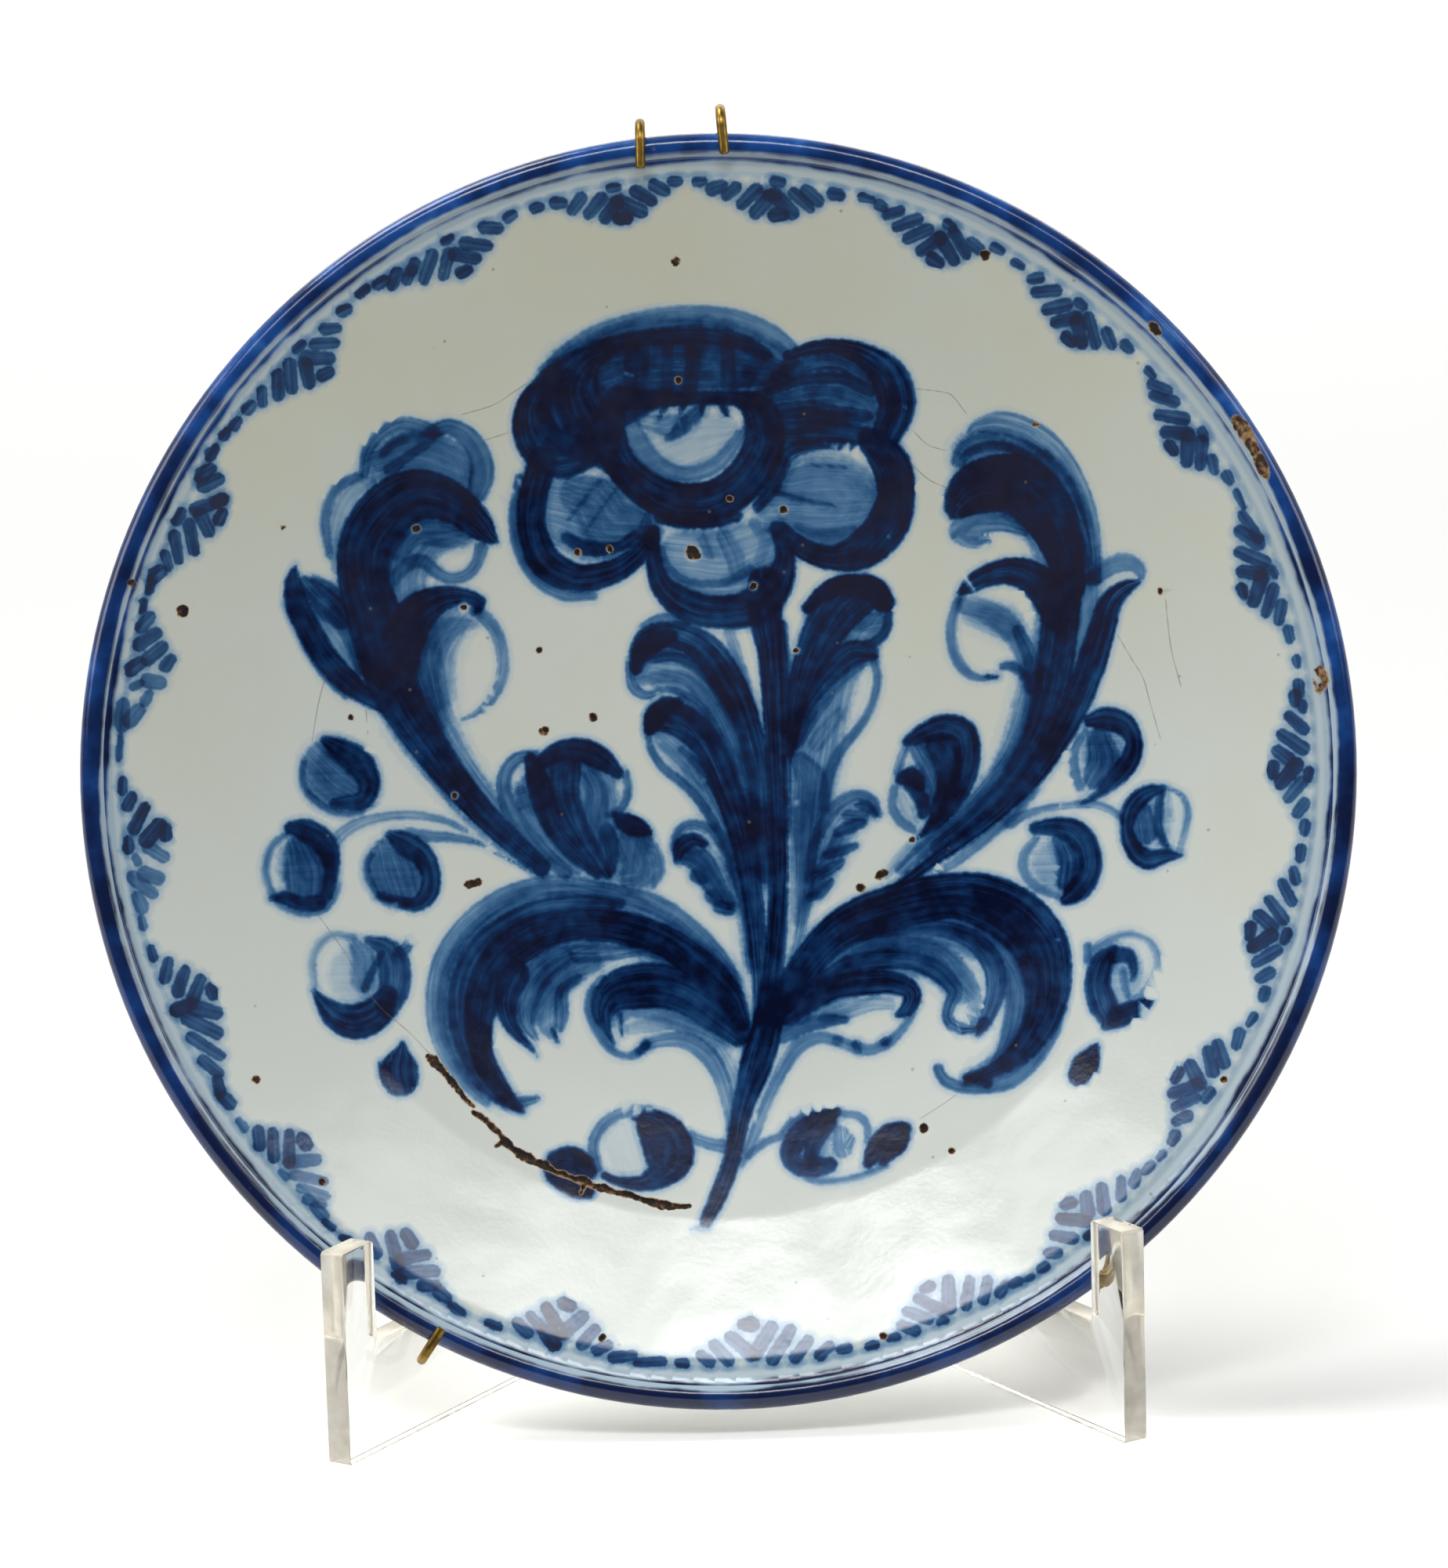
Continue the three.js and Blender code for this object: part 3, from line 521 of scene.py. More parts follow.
LEFT_SCROLL = [
    (0.96, 0.25, -42, -21, 4.5, -48, -15.5, 5.5, -55.5, -8, 6.3, -62, 0, 7.5, -67.5, 8, 9, -72, 15, 10, -75.5,
     23, 12, -77.5, 31, 13, -79.5, 39, 13, -81.5, 47, 12, -81, 55, 12.5, -77, 61.5, 13, -71, 66, 12.5, -65,
     66.5, 11, -59, 63.7, 8.8, -55, 60, 7.5, -52.5, 57.2, 4.5, -50.3, 55.3, 1),
    (0.95, 0.2, -74, 27, 9, -72.5, 34, 10, -69, 39.5, 9, -63.5, 42.5, 6, -58, 42.8, 4, -55, 41.5, 3.5, -55.3,
     39.3, 2), (0.6, 0.7, -68.5, 18, 4, -66, 11, 4, -62.5, 4, 3, -58, -2, 2.5),
    (0.5, 0.5, -56, 39.5, 3, -53.3, 37.5, 3.4, -50.8, 33.5, 3.2, -49.7, 28, 3, -50.3, 23, 2.8, -52.8, 18.5,
     2.4, -56.5, 15.3, 1.6, -60, 14, 0.6),
    (0.36, (0.7, 0.8), -56.5, 36.3, 2.5, -61, 36, 5, -66, 32.5, 8, -67.5, 26, 6, -66.5, 19, 5, -64.5, 13, 3),
    # head
    (0.56, 0.5, -80.5, 71.5, 2.4, -79.7, 76.5, 3, -76.5, 80.7, 3.2, -72, 83, 3.2, -68, 82.6, 3.4, -64.5, 81,
     3.6),
    (0.62, 0.3, -64.5, 81, 3.6, -60.5, 82.2, 4, -56.3, 79.8, 5, -53.6, 75.5, 5.5, -53.3, 71, 6, -54.5, 67, 5,
     -56.5, 64.5, 3), (0.34, 0.5, -76, 74.5, 6, -71, 76.5, 8, -65, 76, 10, -60, 74, 9, -58.5, 69, 7),
    (0.55, 0.3, -76, 76, 2, -73.5, 78.5, 2.6, -69.5, 80, 3, -65, 79.8, 3.4),
    (0.62, 0.3, -74.5, 72.5, 3, -69.5, 76, 2.4, -66, 78, 2.4),
    (0.55, 0.5, -89.2, 53, 2, -90, 60, 2.6, -88.7, 65.5, 2.8, -85.8, 69.2, 2.8, -82, 71, 2.6),
    (0.3, 0.7, -87.5, 50, 3, -87.7, 57, 3.6, -86.3, 63, 4, -83, 67.8, 4, -79, 70, 3),
    (0.46, (0.5, 0.8), -73.5, 53, 4, -69, 57.5, 6, -63.5, 57.7, 7, -58.5, 56.5, 5),
    (0.52, 0.5, -77.5, 43.5, 2.6, -74.5, 47.5, 3.2, -71, 50.7, 3.6, -67.7, 51.3, 3.6, -64.7, 48.8, 3.2, -61.5,
     47.2, 3, -57.8, 47.8, 3.2, -55.2, 50.5, 3.2, -54, 54, 3.4),
    (0.66, 0.6, -77, 48, 3, -75.5, 53, 3, -73, 57, 3),
    # side leaf
    (0.92, 0.3, -97, 50.7, 0.8, -97.7, 47, 3.8, -97, 42, 5.6, -94.5, 36, 6, -91.3, 30, 6, -87.5, 25, 6, -83,
     21, 5, -78, 18, 4),
    (0.58, 0.5, -99.5, 41.5, 1.4, -97.5, 37, 1.6, -94.7, 30.5, 1.8, -91, 25, 2.2, -86.5, 20.5, 2.4),
    (0.74, 0.5, -95, 47, 3, -92.5, 44, 6, -89.5, 41, 7, -87, 38, 5),
    (0.4, 0.6, -88.5, 40, 3, -86, 35, 3.4, -84.3, 29, 2.4, -83, 23.5, 1),
    (0.66, 0.5, -93, 47.5, 2, -89.5, 46, 2.6, -87, 43.5, 3),
    # thin lines along the stem
    (0.32, 0.5, -66.5, 0, 1.2, -61.5, -7.5, 1.4, -52.5, -15.7, 1.8, -42, -22.7, 1.6),
    (0.55, 0.5, -58, -14.3, 0.8, -49, -19.5, 0.9, -41.5, -23.5, 0.9),
]

LEFT_BUD = [
    (0.55, 0.4, -43, 5.2, 2.6, -47, 4.6, 3.2, -49.8, 1.5, 3.6, -50.3, -3, 4, -48.7, -8, 4.6, -45.5, -13, 4.6,
     -41.5, -18, 4.4, -36.5, -22.3, 3.6), (0.48, 0.6, -46.5, -3, 3, -44, -10, 5, -39.5, -17, 4.5, -34, -22, 3),
    (0.94, 0.3, -44, 4.5, 3, -42.5, 0, 5.5, -41, -6, 6, -38.5, -12.5, 5, -34, -18.5, 4, -29, -23.3, 2.2),
    (0.97, 0.15, -41, 3.8, 4, -37, 6, 5, -32, 6, 6, -27.3, 3.8, 5.5, -23.5, 0.5, 3),
    (0.84, 0.6, -36, 2, 8, -36, -5, 7, -33, -12.5, 5.5, -29.5, -18.5, 4, -26.7, -23.3, 2.4),
    (0.56, 0.5, -21.6, 0.5, 2, -21.3, -4, 2.4, -23, -8, 2.2, -26, -9.3, 2),
    (0.46, (0.7, 0.7), -30, 0, 4, -28.5, -4, 6, -29.5, -10, 6, -29, -15, 4),
    (0.98, 0, -24.5, -9.3, 2, -22, -11.3, 5, -19, -12.5, 4.4, -16.8, -13.6, 2),
    (0.74, 0.7, -26.5, -13, 4, -25.5, -18, 4, -26, -22.5, 2.6),
    (0.44, (0.7, 0.7), -22, -15, 5, -20, -18.5, 8, -18.5, -23, 7, -22, -24, 5),
    (0.5, 0.5, -17, -15, 2, -14.8, -18.5, 2.4, -14.2, -22.5, 2.4, -16, -26, 2),
]

LOWER_LEFT_CURL = [
    (0.5, 0.6, 3.6, -52, 1.6, 1, -46, 3.6, -3, -41, 4.6, -8, -36, 5, -14, -31.5, 5, -21, -28.7, 5, -29, -26.8,
     5, -38, -25.3, 5, -46, -26.2, 5, -54, -29.7, 5.5, -61, -35.5, 5.5, -65.8, -43, 5.5, -67.5, -52, 5, -66.7,
     -60, 4.4, -63.5, -67, 3.6, -59.5, -72.5, 3, -56, -75.7, 2),
    (0.76, 0.6, -24, -30, 3, -34, -29.5, 4, -43, -30.7, 4.6, -51, -34.3, 5, -57.8, -40, 5.6, -61.6, -47.5,
     5.6, -62.3, -55.5, 5.4, -60.6, -63, 5, -57.5, -69.5, 4.6, -53.3, -74, 4, -48.8, -77, 2),
    (0.98, 0.25, 4, -59, 4, 1.5, -53, 6.5, -2.5, -48.3, 8, -7.5, -43.8, 8, -13, -39.5, 7.5, -20, -36.7, 8,
     -28, -35, 8, -37, -35, 8, -45.5, -37.5, 9.5, -52, -42.5, 10, -56, -49.5, 9, -57.7, -57, 7, -57, -64.5,
     5.4, -54.2, -70.5, 5, -51, -75, 3.6, -47.7, -78, 1.2),
    (0.72, 0.5, -50.5, -75.8, 2, -47.3, -75.6, 2.8, -44.5, -75, 1.8),
    (0.95, 0.2, -49.5, -46, 8, -51.3, -52, 5.5, -50.5, -57, 4, -48, -60.8, 2.4, -45.8, -63, 1.4, -44.2, -65.2,
     0.4), (0.6, (0.8, 0.7), -38, -42, 6, -43.5, -46, 7, -46.5, -52, 6.5, -46.5, -57.5, 4, -44.5, -61, 1.5),
    (0.34, 0.8, -31, -43.5, 5, -37, -46, 5, -41, -51, 6, -42, -57, 5, -41, -60, 3),
    (0.62, 0.5, -34, -47, 2, -38, -50, 3, -38.3, -55, 3.6, -38.7, -58.6, 2.4),
    (0.85, 0.5, -40.5, -59.3, 1.6, -39.4, -62, 1),
    (0.55, 0.9, -34, -41.5, 5, -26, -41.5, 4, -18, -41, 3.6, -10, -43.5, 3.6, -4, -48, 3),
    (0.92, 0.35, 3, -61.5, 6, -1.5, -57, 9, -7, -52.5, 10, -13.5, -49.8, 10.5, -20, -49.5, 11, -26, -51, 9,
     -28.7, -55, 5.6, -28, -59.5, 2.6, -26.3, -63, 1),
    (0.56, 0.5, -28.5, -47.5, 2, -31.5, -51, 2.2, -31.8, -55.5, 2.6, -30, -60, 2.6, -27.5, -63.7, 2.4, -24,
     -65.7, 2, -21, -65.3, 2.4, -18.7, -63.3, 2.4), (0.85, 0.5, -24.8, -56, 1.6, -24.4, -61, 0.8),
    (0.27, 0.9, -22.5, -59.5, 3, -18, -58.6, 4, -12, -58, 4.4, -6.5, -60, 4, -2.5, -63.5, 4, 0.5, -68.5, 3.6,
     2.5, -75, 2.4),
    (0.5, 0.5, -19, -63.3, 3, -13.5, -62.2, 3.6, -8.3, -63, 4.4, -4, -66.6, 4.6, -1.3, -71.7, 4, 0.2, -78,
     3.4, 0.6, -84, 2.4, 0.3, -89, 1.4), (0.78, 0.5, -20.8, -65, 1.8, -18.6, -63.4, 2.2),
]

LOWER_RIGHT_CURL = [
    (0.97, 0.25, 10.5, -58, 5, 14.5, -52.5, 7, 19, -46, 8, 24.5, -40, 9, 31, -35.8, 10, 38, -33.5, 11, 46,
     -31.5, 11, 54, -30.5, 11, 61.5, -32, 13, 68.5, -36, 14, 73.5, -42, 13.5, 75.3, -49.5, 11.5, 74.5, -57,
     9.5, 71.5, -63.5, 7.5, 67, -68.5, 5.4, 61.5, -71.8, 3.6, 56, -73, 2.4),
    (0.58, 0.3, 78.8, -57, 1.6, 76.4, -63.5, 2.2, 71.8, -69.6, 3, 66, -74, 3.6, 60.5, -75.3, 3.2, 55, -75.2,
     3, 50.7, -73.5, 3, 49.3, -70.8, 2.8), (0.86, 0.5, 55.5, -74.2, 1.6, 58, -73, 2.4, 60.5, -74.4, 3),
    (0.5, 0.7, 62.5, -70, 2, 65.8, -65, 5, 68, -58.5, 6.4, 68.3, -51.5, 6, 66, -45.5, 5, 61.5, -41, 4, 55.5,
     -38.7, 3.6),
    (0.8, 0.5, 33, -39, 3, 42, -38, 3, 51, -38, 4, 58.5, -41, 5, 62.7, -46.5, 5.4, 63.4, -52.5, 4.8, 61.7,
     -57.5, 4, 60, -61, 3, 58.4, -63.6, 0.8), (0.96, 0.5, 60.4, -60, 2.6, 58.8, -62, 2),
    (0.36, 0.6, 31, -41.7, 3.6, 39, -40.8, 3.8, 47, -42, 4, 53.3, -45.6, 4, 57, -50.4, 4, 58.2, -55.5, 3.8,
     57.3, -59.3, 3),
    (0.74, 0.6, 22, -50.5, 4, 28.5, -46.5, 5, 36.5, -45, 5, 44.5, -45.5, 5, 50.5, -48.5, 5, 53.8, -52.7, 4,
     52.5, -55.8, 3, 51.8, -59, 2.8, 54, -61.6, 2.8, 57.3, -61.8, 2),
    (0.94, 0.35, 14.5, -57, 6, 19.5, -53.5, 7, 26.5, -51, 6, 33.5, -50.3, 6, 40, -50.6, 5.6, 43.8, -53, 4.6,
     42.6, -56.6, 3.6, 40.3, -58, 1.6), (0.36, 0.8, 23, -58, 3, 28.5, -56.8, 4, 34, -55.3, 3.6, 38.5, -55.3, 3),
    (0.62, 0.6, 13.5, -62, 4, 18, -60, 4, 23.5, -58.8, 3.6, 28, -58.7, 2),
    (0.5, 0.3, 26, -63.6, 2.8, 30, -65.3, 3, 34, -65.9, 3, 38.3, -64, 2.6, 42.5, -59.8, 2.2, 44.7, -55, 2),
    (0.84, 0.5, 30.4, -64.6, 2.4, 31, -66, 1.6), (0.84, 0.5, 37, -64.3, 2.2, 38, -63.6, 1.8),
    (0.48, 0.5, 26, -63.4, 3, 21, -62.8, 3.4, 16.6, -64.8, 4, 13.4, -69.2, 3.4, 10.3, -75, 3, 7.5, -81, 2.8,
     5.3, -86.5, 2.8, 3, -91.5, 2),
]

RIGHT_SCROLL = [
    (0.97, 0.2, 83, 41, 8, 82.3, 48, 9, 80.2, 54.7, 11.5, 76.5, 61, 13.5, 71.3, 64.8, 14, 65, 65.3, 13, 60.3,
     63.5, 10.5, 57.2, 60, 5.5, 57.3, 58.3, 2),
    (0.54, 0.6, 73, 54.5, 3.5, 67.7, 56.3, 4.5, 62, 56.5, 6, 58, 54.8, 5.4, 60.5, 52.2, 3.4, 64, 52, 2.8),
    (0.5, 0.75, 89.3, 42, 2.6, 89.3, 50, 3, 87.8, 58, 4, 84.6, 66, 5, 79.7, 73, 6, 73.8, 77.3, 6, 68, 79.3,
     5.6, 62.8, 78.8, 3.6, 61, 77.8, 2),
    (0.46, 0.8, 87.3, 42, 2, 87, 50, 3, 85, 58.5, 4, 81.5, 65.7, 4.6, 76.3, 71.3, 4.6, 70, 74.5, 4.4, 64, 75,
     5, 59.8, 73.6, 4.6, 58, 71, 3.6),
    (0.62, 0.6, 60, 72.5, 1.6, 65, 74.2, 2, 71, 73.2, 2, 77, 68.8, 2, 82, 62, 2),
    (0.46, 0.6, 88.5, 42.5, 4, 92, 44.8, 4.4, 95.8, 46, 4.6, 99, 44.7, 3.4, 99.8, 42.6, 2),
    (0.93, 0.45, 99, 41.3, 1.6, 95.5, 39.8, 4, 92.3, 36.5, 5.6, 90.3, 30.5, 6.4, 88, 23.5, 7, 85, 16, 7, 81.5,
     9, 6.6, 77, 2, 6.2, 71.7, -4.7, 5.4, 65.3, -10.8, 4.6, 57.5, -16.8, 4, 50, -21.8, 3.4, 44.5, -25.7, 3,
     40.5, -28.2, 1.6),
    ((0.95, 0.75), 0.4, 82, 42, 8, 80.8, 33, 9, 79.5, 24, 9, 77.7, 15, 8, 75, 7, 7, 71, 0, 6, 65.3, -7, 5, 58,
     -13.5, 4.4, 50.5, -19, 3.4),
    (0.56, 0.7, 71, 31, 3, 73.8, 24, 4, 74.3, 15.5, 4.6, 72.5, 8, 4.6, 68.8, 1.2, 4.4, 63, -5.8, 4, 56, -12.2,
     4, 48.5, -18.3, 3.6, 42, -24, 3),
    (0.66, 0.5, 67.2, 22.8, 2.2, 69.5, 22.9, 2.6, 72, 20.8, 2.6, 73.7, 17, 2.4),
    (0.3, 0.5, 45.5, -17.5, 2.6, 41, -22.3, 3, 38.5, -25.5, 2),
    (0.5, 0.5, 74.5, -6, 1.6, 69, -11.6, 2.6, 62, -17.4, 2.8, 55.5, -22.3, 2.4, 50.5, -25, 1.6),
    (0.96, 0.25, 80, 34, 7, 78.3, 39, 8.5, 74.5, 43.3, 8, 69.5, 45, 6.5, 64.5, 44.2, 5.5, 60.3, 42.2, 4.2, 58,
     40.5, 2), (0.4, (0.6, 0.7), 58.5, 37.5, 4, 63, 36.3, 5.6, 68, 33, 6, 71.5, 27, 4.6, 73, 20, 3),
    (0.52, 0.5, 57.3, 38.5, 2.4, 55.6, 33, 2.8, 55.8, 27, 3, 57.9, 22.7, 3, 61.3, 20.4, 2.2, 66, 20.5, 1),
    (0.75, 0.5, 63.5, 20.6, 1.4, 66, 20.4, 1),
]

RIGHT_BUD = [
    (0.96, 0.3, 44.5, 6, 2.6, 48.5, 7.8, 5, 53.3, 9, 6.4, 57.3, 7.5, 7, 58.4, 2.5, 6.4, 57.3, -3, 6, 54, -9,
     5, 50.3, -13.5, 3, 46.3, -16.7, 0.8),
    (0.8, 0.5, 51.5, 5, 6, 53.8, 0, 6.5, 53.3, -5.5, 5, 50.5, -10.5, 3.6),
    (0.46, 0.7, 46.8, 4, 4, 49, -0.5, 4, 50.5, -5, 3.6, 49.7, -9, 3),
    (0.5, 0.5, 44.6, 5.6, 2, 42.9, 2, 2.4, 42, -1, 2.4), (0.98, 0, 42.5, -3, 2.8, 45.3, -2, 4.4, 47, -4.5, 3),
    (0.84, 0.4, 45, -4, 4, 47.3, -7.5, 4, 47.6, -11, 3),
    (0.5, 0.5, 41, -5, 2.4, 40.4, -9, 2.4, 42.3, -12.6, 2.8, 45, -14.7, 2.2),
    (0.24, 0.6, 42.5, -7, 2.6, 44.3, -11, 3, 46, -13.4, 2), (0.86, 0.5, 50.5, -12, 3, 48, -15, 1.6),
]

BERRIES = [
    (0.52, (0.6, 0.8), -90.5, 3.5, 14, -88.5, 1.5, 17, -86.5, 0, 15),
    (0.9, 0.4, -91.5, 10, 2.6, -88, 7.7, 5.6, -84, 4.5, 7, -81.8, 0, 5.4, -83, -4, 4.6, -87, -4.6, 3.6, -90,
     -4.8, 2.6),
    (0.55, 0.5, -96.6, 5, 1.6, -97.2, 1, 1.8, -95.3, -3, 2.2, -91, -6.3, 2, -86, -7.3, 1.8, -81.5, -5.5, 1.8),
    (0.52, 0.5, -101.3, -11.7, 1.8, -104.6, -14.8, 2.2, -106, -19.5, 2.2, -105, -24.5, 2.2, -102, -28.5, 2.2,
     -97, -30.4, 2, -92, -28.8, 2, -89.3, -24, 1.6),
    (0.66, (0.5, 0.8), -97.5, -15.5, 8, -96, -20, 12, -96, -24, 11),
    (0.92, 0.35, -100, -10.3, 3.4, -96.3, -11, 5.6, -92.3, -14.3, 6, -90.9, -19.5, 4, -92, -25.5, 3.6),
    (0.9, 0.3, -105, -26.6, 1.4, -102, -26.4, 3.2, -98, -28, 3.6, -94, -27.8, 4),
    (0.5, (0.6, 0.8), -77.5, -16.5, 8, -76.5, -20.5, 13, -75.5, -24, 12),
    (0.9, 0.35, -77, -12.6, 2.8, -73.5, -14.7, 6, -69.7, -17.8, 5.6, -67.9, -22.5, 4.6, -68.9, -26.8, 4.6,
     -72, -29, 3.4, -76.5, -27.7, 2.6, -80, -26.6, 2),
    (0.52, 0.5, -79.5, -14.5, 1.6, -82.3, -18, 2, -82.7, -22, 2, -80.5, -26, 2),
    (0.43, 0.5, -89.7, -13.3, 3, -86.8, -10.8, 3, -82, -8.8, 2.6, -76, -8, 2.4, -70, -8.2, 2.4, -64, -9.6,
     2.2, -59.4, -12, 1.4),
    (0.5, 0.5, -73, -11.7, 2, -68, -13, 3, -63, -13.5, 2.6, -58.5, -14.5, 2, -56, -15.2, 1.2),
    (0.38, 0.5, -86, -36.3, 2, -91, -35.5, 2.2, -94.6, -38.3, 2.4, -95.8, -42.5, 2.2, -95.3, -47, 1.8),
    (0.4, (0.6, 0.9), -86, -37.7, 3, -84, -41, 6, -84.3, -46, 6),
    (0.76, 0.4, -83, -36.8, 2, -79, -38.7, 5, -77, -42.5, 7.5, -77, -48, 7.5, -78.7, -52.3, 6),
    (0.64, 0.5, -76, -40, 3, -73.8, -38.8, 2.8, -73.4, -37, 1.6),
    (0.7, 0.5, -79.5, -40, 1.6, -82, -44, 2, -84, -48.4, 2),
    (0.93, 0.25, -95.8, -48, 0.8, -93.7, -51, 3.4, -90.5, -54.3, 6.4, -86, -55.8, 8.5, -81.5, -54, 8, -78.7,
     -50, 5), (0.9, 0.25, -75.4, -61.4, 1.8, -75.8, -64, 4.4, -76.3, -67.5, 9, -76, -69.3, 8.4),
    (0.8, 0.5, -80.7, -65.5, 1, -79.5, -67.5, 3),
    (0.95, 0.3, 87.3, 9.5, 3.6, 91, 9.8, 6, 95, 8.2, 5.4, 97, 4.5, 4, 96, 0, 4.8, 92.5, -4.2, 4.4, 88.5, -7.7,
     2.2, 84.5, -9.8, 0.8), (0.64, (0.6, 0.7), 89, 5, 6, 89.8, 0, 8, 87.6, -4, 5.5),
    (0.46, 0.5, 86, 7, 1.8, 83.4, 3, 2.4, 83, -1.5, 2.8, 84.3, -6, 2.4),
    (0.93, 0.3, 103.3, -6.9, 2, 99.3, -8, 4, 96, -11.3, 4.4, 94.8, -16, 3.4, 96, -20.4, 4.4, 99, -23.3, 5,
     103, -22.6, 3.6, 107, -22.7, 1.2),
    (0.76, 0.5, 103, -8, 2, 102.3, -12, 2.4, 102.3, -17, 2.4, 104, -21, 1.8),
    (0.6, 0.6, 98.5, -12.5, 5, 99, -17, 6),
    (0.46, 0.5, 105, -7, 1.2, 107.6, -8.8, 1.8, 108.8, -12.6, 2, 108, -17, 2, 106.6, -21.5, 1.8),
    (0.22, 0.5, 104.6, -9, 1.6, 105, -13, 1.6),
    (0.95, 0.3, 73.7, -15.3, 3.2, 78, -15, 4.6, 83, -16.7, 6.4, 85.7, -21, 6, 85.8, -26, 5.6, 83, -30, 5.6,
     80, -32.3, 2.6), (0.8, 0.6, 79.5, -18.5, 4.5, 81, -23, 5, 80.3, -28, 4.6),
    (0.46, 0.5, 73.8, -17.8, 2, 70.9, -21.7, 2.8, 71.1, -26, 2.8, 74.3, -29.6, 2.6, 78.3, -31.3, 2),
    (0.44, 0.5, 86.8, -43.5, 2.2, 91, -41.2, 2.2, 95.3, -40.7, 2, 99.2, -42.7, 2, 100.8, -46.7, 2.2, 99.8,
     -51, 2, 96.6, -54.6, 1.8, 94.3, -56, 1.2), (0.56, 0.5, 85, -43.2, 2.4, 85, -46.5, 2.6),
    (0.9, 0.4, 91, -43.8, 2, 88.2, -47, 5.4, 86.8, -52, 6.2, 88, -57, 7, 89.3, -60, 5, 88, -62, 1.8),
    (0.8, 0.5, 91, -45.5, 4, 94, -45.3, 3.4, 95.3, -48.5, 2.2, 95, -51, 1.4),
    (0.42, 0.6, 92.6, -49, 2, 93.4, -54.5, 2),
    (0.95, 0.2, 90.8, -60, 5, 94, -58.6, 5, 97.7, -56.7, 3, 99.6, -54.9, 0.8),
    (0.97, 0.1, 86.2, -65.8, 0.8, 85, -68, 3.6, 83, -71, 6.2, 81.6, -73.2, 4.8),
    (0.95, 0.5, 86.8, -70.6, 1.2, 84.4, -71.3, 3),
    (0.48, 0.5, 68, -13.7, 3.4, 71, -12.3, 2.4, 76, -10.8, 2, 82, -10, 2, 88, -10.1, 2.2, 92.3, -12.2, 2, 94,
     -14.5, 1.4),
    (0.52, 0.5, -18.5, -78.3, 2, -24, -78.7, 3, -29, -81.3, 3, -31.7, -86, 2.8, -30.5, -91.5, 2.2),
    (0.1, 0.5, -25.5, -85, 8, -24, -89.5, 8),
    (0.99, 0.1, -21.5, -80, 2.4, -17.5, -81, 5.5, -14, -84.5, 8.5, -13, -89.3, 9.6, -15.8, -93, 7, -20.5,
     -95.3, 4, -26, -94.7, 2.4, -29.3, -93.3, 1.8), (0.98, 0.1, -19.7, -82, 4, -18, -88, 4.4, -17, -92, 4),
    (0.5, 0.5, -9, -85, 3, -5, -86.6, 3, 0, -87.6, 3.4),
    (0.97, 0.1, -41.5, -88.5, 2, -37.5, -87.6, 3, -33.7, -89.3, 3, -31.7, -92, 1.8),
    (0.97, 0, -41, -89.7, 3.4, -38, -89.7, 4.8, -34.5, -91, 4.6, -32.2, -92.8, 2.4),
    (0.97, 0, -41.2, -92.7, 3.8, -38, -94.3, 5, -35, -95.8, 4.4, -32.6, -96.8, 2.2),
    (0.95, 0.1, -42, -91.5, 2.8, -39.3, -94, 4.4, -36, -96.3, 4, -33, -97.6, 1.8),
    (0.6, 0.5, 13, -84, 2, 16, -81.3, 2.6, 20, -79.8, 2),
    (0.99, 0.1, 25.3, -80.3, 2.4, 20.7, -81.8, 4.4, 16.5, -85.3, 5.6, 14, -89.6, 4.8, 15.4, -92.3, 4, 19.5,
     -92.7, 5, 23.3, -92.3, 3.8), (0.9, 0.3, 23.7, -82.5, 3.4, 20, -87, 4, 19, -90, 3.6),
    (0.48, 0.8, 26, -85, 4, 26.3, -88.5, 5, 28, -86.5, 3),
    (0.5, 0.5, 26.8, -80.6, 2, 30.7, -81.4, 2.2, 32.4, -84.3, 2, 32, -87, 1.4),
    (0.52, 0.5, 16, -94, 1.4, 20.5, -96, 2.2, 26.5, -95.8, 2, 32, -94.6, 1.8, 36.5, -92.8, 1.4),
    (0.99, 0.1, 32.2, -92.3, 2.6, 34.5, -88.8, 5.4, 38, -85.9, 6, 41.3, -84.3, 2.8),
    (0.97, 0, 35.5, -92, 2, 39.7, -88.3, 3.4, 41.3, -85.5, 2),
    (0.5, 0.5, 12.3, -85.4, 2.4, 8.3, -86.8, 2.4, 4.4, -89.6, 2.2),
]

# Thin washes that lie under the strokes and fill the leaves and petals, as rows without streaks

